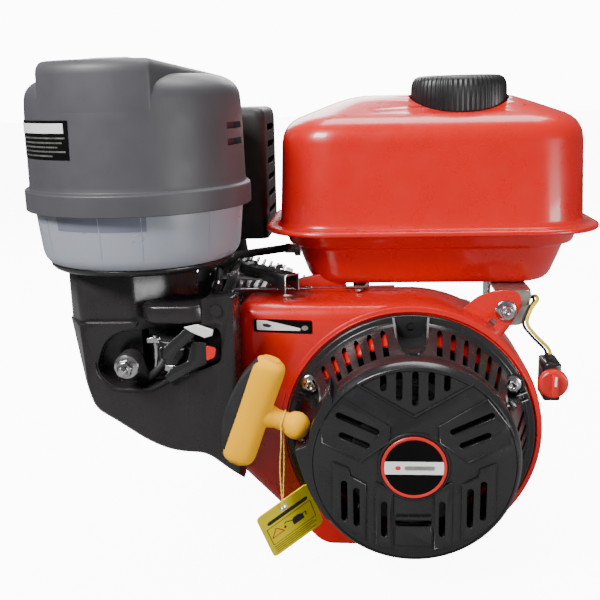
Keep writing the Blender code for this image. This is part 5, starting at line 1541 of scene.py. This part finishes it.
def crankcase():
    case = wall_box("case", (-72, -56, 3), (72, 60, 170), 14, 2.4)
    base = soft_edges(slab("base", [(-92, -52, 10), (92, -52, 10), (92, 58, 10), (-92, 58, 10)], 8, 0, 12,
        "Z"), 1.4, 3)
    for x, y in FOOT_HOLES:
        cut(base, rod("foot_hole", (x, y, -1), (x, y, 13), 4.5, 32))
    pads = [lathe("foot_pad", [(4.5, 12), (9.6, 12), (9.6, 12.5), (4.5, 12.5)], (x, y, 0), UP, 40,
        closed=True) for x, y in FOOT_HOLES]
    feet = [soft_edges(block("foot_rib", (s * 77 - 6, y - 2.4, 8), (s * 77 + 6, y + 2.4, 40)), 1, 2)
        for s in (-1, 1) for y in (-20, 5, 30)]
    ribs = [soft_edges(block("case_rib", (70, y, 22), (73.6, y + 3.4, 160)), 1, 2) for y in (-48, -10, 44)]
    ribs += [soft_edges(block("case_rib", (-73.6, y, 22), (-70, y + 3.4, 74)), 1, 2) for y in (-48, -4, 44)]
    bosses = [rod("case_boss", (x, 50, z), (x, 60.1, z), 7.4, 40) for x, z in FLANGE_BOLTS]
    barrel = rod("barrel", on_cylinder(40), on_cylinder(142), 43, 96)
    deck = soft_edges(tilted_square("deck", 135, 142, 46, 46, 12), 0.8, 2)
    plates = fins("barrel_fin", [78 + 6.3 * i for i in range(9)], 50, 48, 2.2)
    well = lathe("filler_seat", [(9.4, 0), (15, 0), (15, 0.35), (9.4, 0.35)], (72, 20, 52), (1, 0, 0), 48,
        closed=True)
    pieces = [case, base, barrel, deck, well] + pads + feet + ribs + bosses + plates
    show(together("crankcase_skin", *pieces), CASTING, stands_for=["crankcase"],
        angle=30)


def side_cover():
    outline = rounded_outline([(-72, 9, 16), (72, 9, 16), (72, 170, 20), (-72, 170, 20)], 8, 8)
    cover = soft_edges(prism("cover_plate", outline, 60.3, 68), 1.6, 3)
    ring = lathe("mounting_ring", rounded_profile([(40, 66), (57, 66), (57, 75, 0.8), (40, 75, 0.8)], 0.5)
        + [(40, 66)], CRANK_AT, BACK, 120)
    inner = lathe("seal_cup", rounded_profile([(11.8, 66), (40.4, 66), (40.4, 70.6), (26, 71), (22, 73.4),
        (11.8, 73.4)], 0.8) + [(11.8, 66)], CRANK_AT, BACK, 96)
    pads = []
    for angle in (45, 135, 225, 315):
        x, z = 46 * cos(radians(angle)), CRANK_Z + 46 * sin(radians(angle))
        boss = rod("face_boss", (x, 67, z), (x, 75, z), 7.6, 40)
        cut(boss, rod("face_hole", (x, 60, z), (x, 77, z), 3.4, 32))
        cut(ring, rod("face_hole", (x, 60, z), (x, 77, z), 3.4, 32))
        pads.append(boss)
    ribs = []
    for angle in range(0, 360, 30):
        t = radians(angle)
        a, b = Vector((cos(t), 0, sin(t))), Vector((-sin(t), 0, cos(t))) * 1.5
        low, high = CRANK_AT + a * 56, CRANK_AT + a * (62 if angle % 90 else 68)
        ring_a = [low - b, low + b, high + b, high - b]
        ribs.append(loft("cover_rib", [[p + Vector((0, 67, 0)) for p in ring_a],
            [p + Vector((0, y, 0)) for p, y in zip(ring_a, (73, 73, 69.4, 69.4))]]))
    bosses = [rod("cover_boss", (x, 60.4, z), (x, 69.2, z), 7.6, 40) for x, z in FLANGE_BOLTS]
    show(together("side_cover_skin", cover, ring, inner, *pads, *ribs, *bosses), CASTING,
        stands_for=["side_cover"], angle=30)
    for x, z in FLANGE_BOLTS:
        flange_bolt("cover_bolt", (x, 69.2, z), BACK, 9, 13.6, 5)
    seal = lathe("shaft_seal", rounded_profile([(10, 73.2), (21, 73.2), (20, 74.4), (12, 74), (10, 74.6)],
        0.3) + [(10, 73.2)], CRANK_AT, BACK, 64)
    show(seal, RUBBER)
    gasket = slab("cover_gasket", [(-72.3, 8.7, 16), (72.3, 8.7, 16), (72.3, 170.2, 14),
        (-72.3, 170.2, 14)], 8, 59.7, 60.5, steps=8)
    show(gasket, RUBBER)


def cylinder_head():
    core = tilted_square("head_core", 142.3, 185, 33, 38, 10)
    plates = fins("head_fin", [143.3 + 6.4 * i for i in range(6)], 46, 46, 2.4)
    deck = soft_edges(tilted_square("head_deck", 179, 185, 40, 42, 10), 0.9, 3)
    intake = rod("intake_boss", PORT + Vector((0, -20, 0)), PORT + Vector((0, -47, 0)), 15, 64)
    exhaust = rod("exhaust_boss", PORT + Vector((0, 30, 0)), PORT + Vector((0, 57, 0)), 15, 64)
    show(together("cylinder_head_skin", core, deck, intake, exhaust, *plates), CASTING,
        stands_for=["cylinder_head"], angle=30)
    gasket = tilted_square("head_gasket", 141.9, 142.5, 45, 45.4, 10)
    show(gasket, ZINC)


def rocker_cover():
    rings = []
    for s, inset, radius in ((185.3, -1.2, 13), (187.6, -1.4, 13), (188.2, -1, 12), (188.8, 0.6, 12),
            (202, 2, 12), (207, 2.6, 12), (210.4, 4.4, 11), (212.2, 7.2, 10), (213, 11, 9), (213, 22, 6)):
        a, y = 38 - inset, 40 - inset
        outline = rounded_outline([(-a, -y, radius), (a, -y, radius), (a, y, radius), (-a, y, radius)],
            radius, 8)
        rings.append([on_cylinder(s, u, 5 + v) for u, v in outline])
    body = loft("rocker_cover_skin", rings)
    rib = [tilted_square("rocker_rib", 211, 213, 26 - 16 * i, 2.4, 2) for i in range(2)]
    show(together("rocker_cover_all", body, *rib), BLACK_PAINT, stands_for=["rocker_cover"])
    for across, y in ((-31, -33), (31, -33), (-31, 33), (31, 33)):
        flange_bolt("rocker_bolt", on_cylinder(200.4, across, 5 + y), ALONG, 8, 12, 4.4)
    breather = tube("breather", route([on_cylinder(206, 20, -28), on_cylinder(206, 34, -36),
        on_cylinder(198, 44, -44), on_cylinder(190, 48, -52)]), 4.6, 20)
    show(breather, RUBBER)


PLUG_FROM = on_cylinder(160, -50)
PLUG_WAY = (on_cylinder(148, -8) - PLUG_FROM).normalized() * -1


def spark_plug():
    body = turned("plug_body", [(0, -29.6), (4.9, -29.6), (4.9, 0.2), (8.4, 0.4), (8.4, 1.8), (9, 2),
        (9, 3), (6.6, 11), (5.2, 12), (0, 12)], 0.3, PLUG_FROM, PLUG_WAY, 48)
    levels = ((2, 0.9), (2.6, 1), (8.6, 1), (9.4, 0.9))
    nut = hexagon("plug_hex", placed(PLUG_FROM, PLUG_WAY), 16.4, levels)
    show(together("spark_plug_shell", body, nut), COPPER_TONE, stands_for=["spark_plug"],
        angle=25)
    cap = turned("plug_cap", [(5.7, 14), (9, 14), (9.8, 15.4), (9.4, 18), (9.9, 20.4), (9.5, 23), (9.9, 26),
        (9, 44, 2), (6.4, 47.6, 2), (0, 48)], 0.8, PLUG_FROM, PLUG_WAY, 64)
    elbow = PLUG_FROM + PLUG_WAY * 44.5
    arm = tube("cap_arm", [elbow, elbow + Vector((2, -9, 1)), elbow + Vector((4, -18, 2))], [5.6, 5.4, 4.8],
        32)
    show(together("spark_plug_cap_skin", cap, arm), RUBBER, stands_for=["spark_plug_cap"])


def ignition():
    elbow = PLUG_FROM + PLUG_WAY * 44.5 + Vector((4, -18, 2)) * 1.08
    knots = [elbow, elbow + Vector((3, -12, 1)), (-158, -44, 84), (-135, -52, 82), (-118, -62, 80),
        (-112, -72, 79), (-110, -79.7, 79)]
    show(tube("ignition_lead_skin", route(knots), 3.15, 24), RUBBER, stands_for=["ignition_lead"],
        angle=60)
    body = soft_edges(block("coil_body", (-122, -104, 68), (-94, -80, 93)), 2.4, 4)
    foot = soft_edges(block("coil_foot", (-118, -81, 68.7), (-98, -58, 72.3)), 0.8, 2)
    legs = []
    for i in range(7):
        step = block("core_sheet", (-96, -98 + 1.7 * i, 70), (-84.6, -96.7 + 1.7 * i, 75.8))
        high = block("core_sheet", (-96, -98 + 1.7 * i, 86), (-88.6, -96.7 + 1.7 * i, 91.8))
        legs += [step, high]
    boot = turned("lead_boot", [(3.2, -2), (5.6, -2), (5.2, 5), (4, 8), (3.2, 8)], 0.5, (-110, -80, 79),
        BACK, 40)
    show(together("ignition_coil_skin", body, foot), BLACK_PLASTIC, stands_for=["ignition_coil"])
    show(together("coil_core", *legs), ZINC)
    show(boot, RUBBER)


# Exhaust

def muffler_guard():
    low, high = Vector((-222, -8, 243)), Vector((-121, 82, 358))

    def outline(inset):
        return rounded_outline([(low.x + inset, low.y + inset, 9), (high.x - inset, low.y + inset, 9),
            (high.x - inset, high.y - inset, 9), (low.x + inset, high.y - inset, 9)], 8, 6)

    outer = loft("guard", [on_plane(outline(i), z, "Z") for z, i in ((243, 0), (349, 0), (353.4, 0.8),
        (356.4, 2.6), (357.8, 5), (358, 8))])
    inner = loft("guard_room", [on_plane(outline(1.6 + i), z, "Z")
        for z, i in ((240, 0), (348, 0), (354, 2), (356, 7))])
    cut(outer, inner)
    slots = []
    for i in range(6):
        z = 262 + 15 * i
        slots.append(prism("guard_slot", [(-171 + a, z + 3 + b) for a, b in capsule(64, 6)], 70, 92))
        for start, end in ((-127, -113), (-230, -215)):
            slots.append(prism("guard_side_slot", [(37 + a, z + 3 + b) for a, b in capsule(50, 6)], start,
                end, "X"))
    for slot in slots:
        cut(outer, slot)
    show(outer, HEAT_BLACK, stands_for=["muffler_guard"], angle=35)
    for x, z in ((-212, 252), (-131, 252), (-212, 350), (-131, 350)):
        flange_bolt("guard_bolt", (x, 82, z), BACK, 7, 11, 3.2)


def muffler():
    low, high = Vector((-213, 3, 253)), Vector((-131, 73, 348))
    outline = rounded_outline([(low.x, low.z, 16), (high.x, low.z, 16), (high.x, high.z, 16),
        (low.x, high.z, 16)], 14, 8)
    body = soft_edges(prism("muffler_skin", outline, low.y, high.y), 5, 5)
    seam = prism("muffler_seam", [(x + (0.8 if x > -172 else -0.8), z + (0.8 if z > 300 else -0.8))
        for x, z in outline], 36.6, 39)
    pipe = lathe("outlet", rounded_profile([(6, -6), (7.6, -6), (7.6, 5), (6, 5)], 0.4) + [(6, -6)],
        (-196, 73, 330), BACK, 40)
    show(together("muffler_all", body, seam, pipe), HEAT_BLACK, stands_for=["muffler"])


def exhaust_pipe():
    x, z = PORT.x, PORT.z
    knots = [(x, 58.2, z), (x, 66, z), (x - 1, 74, z + 5), (x - 3, 77, z + 20), (x - 8, 70, z + 44),
        (x - 9, 66, 251.5)]
    pipe = tube("exhaust_pipe_skin", route(knots), 10.9, 40)
    flange = prism("exhaust_flange", turned_outline(capsule(48, 26), 25, x, z), 57.3, 60.6)
    show(together("exhaust_all", pipe, soft_edges(flange, 0.6, 2)), HEAT_BLACK, stands_for=["exhaust_pipe"],
        angle=60)
    for side in (-1, 1):
        reach = 17.4 * side
        place = (x + reach * cos(radians(25)), 60.6, z + reach * sin(radians(25)))
        flange_bolt("exhaust_nut", place, BACK, 9, 12, 5)


# Intake parts

def intake():
    x, z = PORT.x, PORT.z
    body = soft_edges(block("carb_body", (x - 16, -97, z - 18), (x + 14, -57.2, z + 18)), 3.4, 4)
    flange = soft_edges(block("carb_flange", (x - 20, -62, z - 22), (x + 14.8, -57.2, z + 22)), 1.2, 3)
    boss = rod("throttle_boss", (x, -70, z + 10), (x, -70, z + 26), 6, 40)
    ring = lathe("bowl_ring", rounded_profile([(9, -3), (15, -3), (15, 0), (9, 0)], 0.8) + [(9, -3)],
        (x - 1, -79, z - 18), UP, 48)
    screws = [rod("carb_screw", (x + 13.8, y, z + h), (x + 17.6, y, z + h), 3, 24)
        for y, h in ((-88, 8), (-72, -8))]
    show(together("carburettor_skin", body, flange, boss, ring), CASTING, stands_for=["carburettor"])
    show(together("carb_screws", *screws), STEEL)
    top = z - 18.3
    bowl = turned("float_bowl_skin", [(0, top - 26), (4, top - 26), (4.6, top - 23), (11, top - 22, 2),
        (14.4, top - 18, 3), (14.5, top - 3), (15.2, top - 2), (15.2, top), (0, top)], 0.5, (x - 1, -79, 0),
        UP, 64)
    nut = hexagon("bowl_nut", Matrix.Translation((x - 1, -79, 0)), 9.4, ((top - 28.6, 1), (top - 24, 1)))
    show(together("float_bowl_all", bowl, nut), ZINC, stands_for=["float_bowl"],
        angle=30)
    spacer = soft_edges(block("spacer", (x - 18, -56.6, z - 22), (x + 14.5, -47.4, z + 22)), 0.8, 2)
    show(spacer, BLACK_PLASTIC, stands_for=["insulator"])


# Shaft, oil cap and drain bolt

OIL_CAP_AT = Vector((72, 20, 52))
DRAIN_AT = Vector((72, 20, 25))


def output_shaft():
    """The shaft's end, with its keyway and centre hole, over the whole crankshaft's core."""
    shaft = turned("shaft_end", [(0, 58), (9.5, 58), (9.5, 134.4, 1.2), (8.6, 136), (3.2, 136), (2.2, 133),
        (0, 133)], 0.3, CRANK_AT, BACK, 80)
    cut(shaft, block("keyway", (-2.4, 92, CRANK_Z + 6), (2.4, 137, CRANK_Z + 12)))
    show(shaft, TURNED_STEEL, "crank", angle=25)


def oil_cap():
    at, turn = OIL_CAP_AT, placed(OIL_CAP_AT, RIGHT)
    rings = []
    for h, r, deep in ((0.5, 14, 0), (2, 15, 0.9), (7.2, 15, 0.9), (8.2, 13.8, 0.2), (8.4, 11, 0),
            (10, 10.4, 0), (19, 9.8, 0), (21.4, 8.4, 0), (22, 6, 0)):
        ring = []
        for i in range(96):
            t, k = 2 * pi * i / 96, r - (deep if i % 6 < 2 else 0)
            ring.append(turn @ Vector((k * cos(t), k * sin(t), h)))
        rings.append(ring)
    cap = loft("oil_cap_body", rings)
    plug = lathe("oil_cap_thread", [(0, -9)] + [(8.5 - 0.8 * (i % 2), -9 + 0.9 * i) for i in range(11)]
        + [(0, 0.8)], at, (1, 0, 0), 40)
    bar = soft_edges(block("oil_cap_bar", (80, 17.4, 43), (93.6, 22.6, 61)), 1.4, 3)
    show(together("oil_cap_skin", cap, plug, bar), BLACK_PLASTIC, "oil_cap", ["oil_cap"],
        30)


def drain_bolt():
    flange_bolt("drain_bolt_skin", DRAIN_AT + RIGHT * 0.4, RIGHT, 14, 19.6, 8.4, ["drain_bolt"])
    washer = lathe("drain_washer", [(5, 0), (10, 0), (10, 1.2), (5, 1.2)], DRAIN_AT, RIGHT, 40, closed=True)
    show(washer, COPPER_TONE)


# The inner pieces keep their plain shapes and get real surfaces

INNER = {
    "camshaft": STEEL, "main_bearing_front": STEEL, "main_bearing_rear": STEEL, "piston": CASTING,
    "piston_pin": STEEL, "connecting_rod": CASTING, "crankshaft": TURNED_STEEL, "flywheel": CASTING,
    "cooling_fan": BLACK_PLASTIC, "starter_cup": BLACK_PAINT, "flywheel_nut": STEEL, "starter_reel": RUBBER,
}


def inner_pieces():
    for name, finish in INNER.items():
        obj = bpy.data.objects[name]
        obj.data.materials.clear()
        obj.data.materials.append(finish)


crankcase()
side_cover()
cylinder_head()
rocker_cover()
spark_plug()
ignition()
muffler_guard()
muffler()
exhaust_pipe()
intake()
output_shaft()
oil_cap()
drain_bolt()
inner_pieces()


# Camera, light and floor

ROOM_LIGHT, BACKDROP, FLOOR_GLOW, FLOOR_BOUNCE = 0.16, 12.0, 10.0, 0.22
LENS = 50.15
CAMERA_AT = (-0.03355, -0.74348, 0.36787)
YAW, PITCH, ROLL = radians(-4.674), radians(13.81), radians(-1.401)
LIT_POINT = Vector((0, 0, 0.2))
LIGHTS = (
    ("key", (-1.0, -1.2, 1.5), (0.8, 0.5), 64),
    ("fill", (1.2, -1.0, 0.15), (0.6, 0.5), 16),
    ("top", (0.1, 0.3, 1.7), (1.2, 0.8), 30),
    ("rear", (-0.3, 1.6, 1.1), (1.4, 0.7), 28),
)


def camera():
    """Looks at the recoil side from a little above and to the left."""
    data = bpy.data.cameras.new("camera")
    data.lens = LENS
    data.clip_start, data.clip_end = 0.05, 50
    view = bpy.data.objects.new("camera", data)
    bpy.context.scene.collection.objects.link(view)
    forward = Vector((sin(YAW) * cos(PITCH), cos(YAW) * cos(PITCH), -sin(PITCH)))
    right = Vector((cos(YAW), -sin(YAW), 0))
    up = right.cross(forward)
    across = right * cos(ROLL) + up * sin(ROLL)
    over = up * cos(ROLL) - right * sin(ROLL)
    view.matrix_world = Matrix((across, over, -forward)).transposed().to_4x4()
    view.location = CAMERA_AT
    bpy.context.scene.camera = view


def area_light(name, place, size, power):
    data = bpy.data.lights.new(name, "AREA")
    data.shape = "RECTANGLE"
    data.size, data.size_y = size
    data.energy = power
    light = bpy.data.objects.new(name, data)
    bpy.context.scene.collection.objects.link(light)
    light.location = place
    light.rotation_mode = "QUATERNION"
    light.rotation_quaternion = (Vector(place) - LIT_POINT).to_track_quat("Z", "Y")


def seen_or_felt(tree, seen, felt):
    """One shader for what the camera sees directly, another for the light that reaches the object."""
    path = tree.nodes.new("ShaderNodeLightPath")
    mix = tree.nodes.new("ShaderNodeMixShader")
    tree.links.new(path.outputs["Is Camera Ray"], mix.inputs["Fac"])
    tree.links.new(felt, mix.inputs[1])
    tree.links.new(seen, mix.inputs[2])
    return mix.outputs[0]


def studio():
    """Soft light from all round, with a large key at the upper left."""
    world = bpy.data.worlds.new("studio")
    world.use_nodes = True
    tree = world.node_tree
    dim = tree.nodes["Background"]
    dim.inputs["Color"].default_value = (1, 1, 1, 1)
    dim.inputs["Strength"].default_value = ROOM_LIGHT
    bright = tree.nodes.new("ShaderNodeBackground")
    bright.inputs["Strength"].default_value = BACKDROP
    bright.inputs["Color"].default_value = (1, 1, 1, 1)
    tree.links.new(seen_or_felt(tree, bright.outputs[0], dim.outputs[0]),
        tree.nodes["World Output"].inputs["Surface"])
    bpy.context.scene.world = world
    for name, place, size, power in LIGHTS:
        area_light(name, place, size, power)


def floor():
    shape = bmesh.new()
    bmesh.ops.create_grid(shape, x_segments=8, y_segments=8, size=14)
    mesh = bpy.data.meshes.new("floor")
    shape.to_mesh(mesh)
    shape.free()
    sheet = bpy.data.objects.new("floor", mesh)
    bpy.context.scene.collection.objects.link(sheet)
    pale = material("floor", (0.90, 0.90, 0.90), 0.7, tint=0.01, tint_scale=2, rough_spread=0.03)
    tree = pale.node_tree
    shader = tree.nodes["Principled BSDF"]
    shader.inputs["Emission Color"].default_value = (1, 1, 1, 1)
    shader.inputs["Emission Strength"].default_value = FLOOR_GLOW
    plain = tree.nodes.new("ShaderNodeBsdfDiffuse")
    plain.inputs["Color"].default_value = (FLOOR_BOUNCE, FLOOR_BOUNCE, FLOOR_BOUNCE, 1)
    tree.links.new(seen_or_felt(tree, shader.outputs[0], plain.outputs[0]),
        tree.nodes["Material Output"].inputs["Surface"])
    mesh.materials.append(pale)


camera()
studio()
floor()
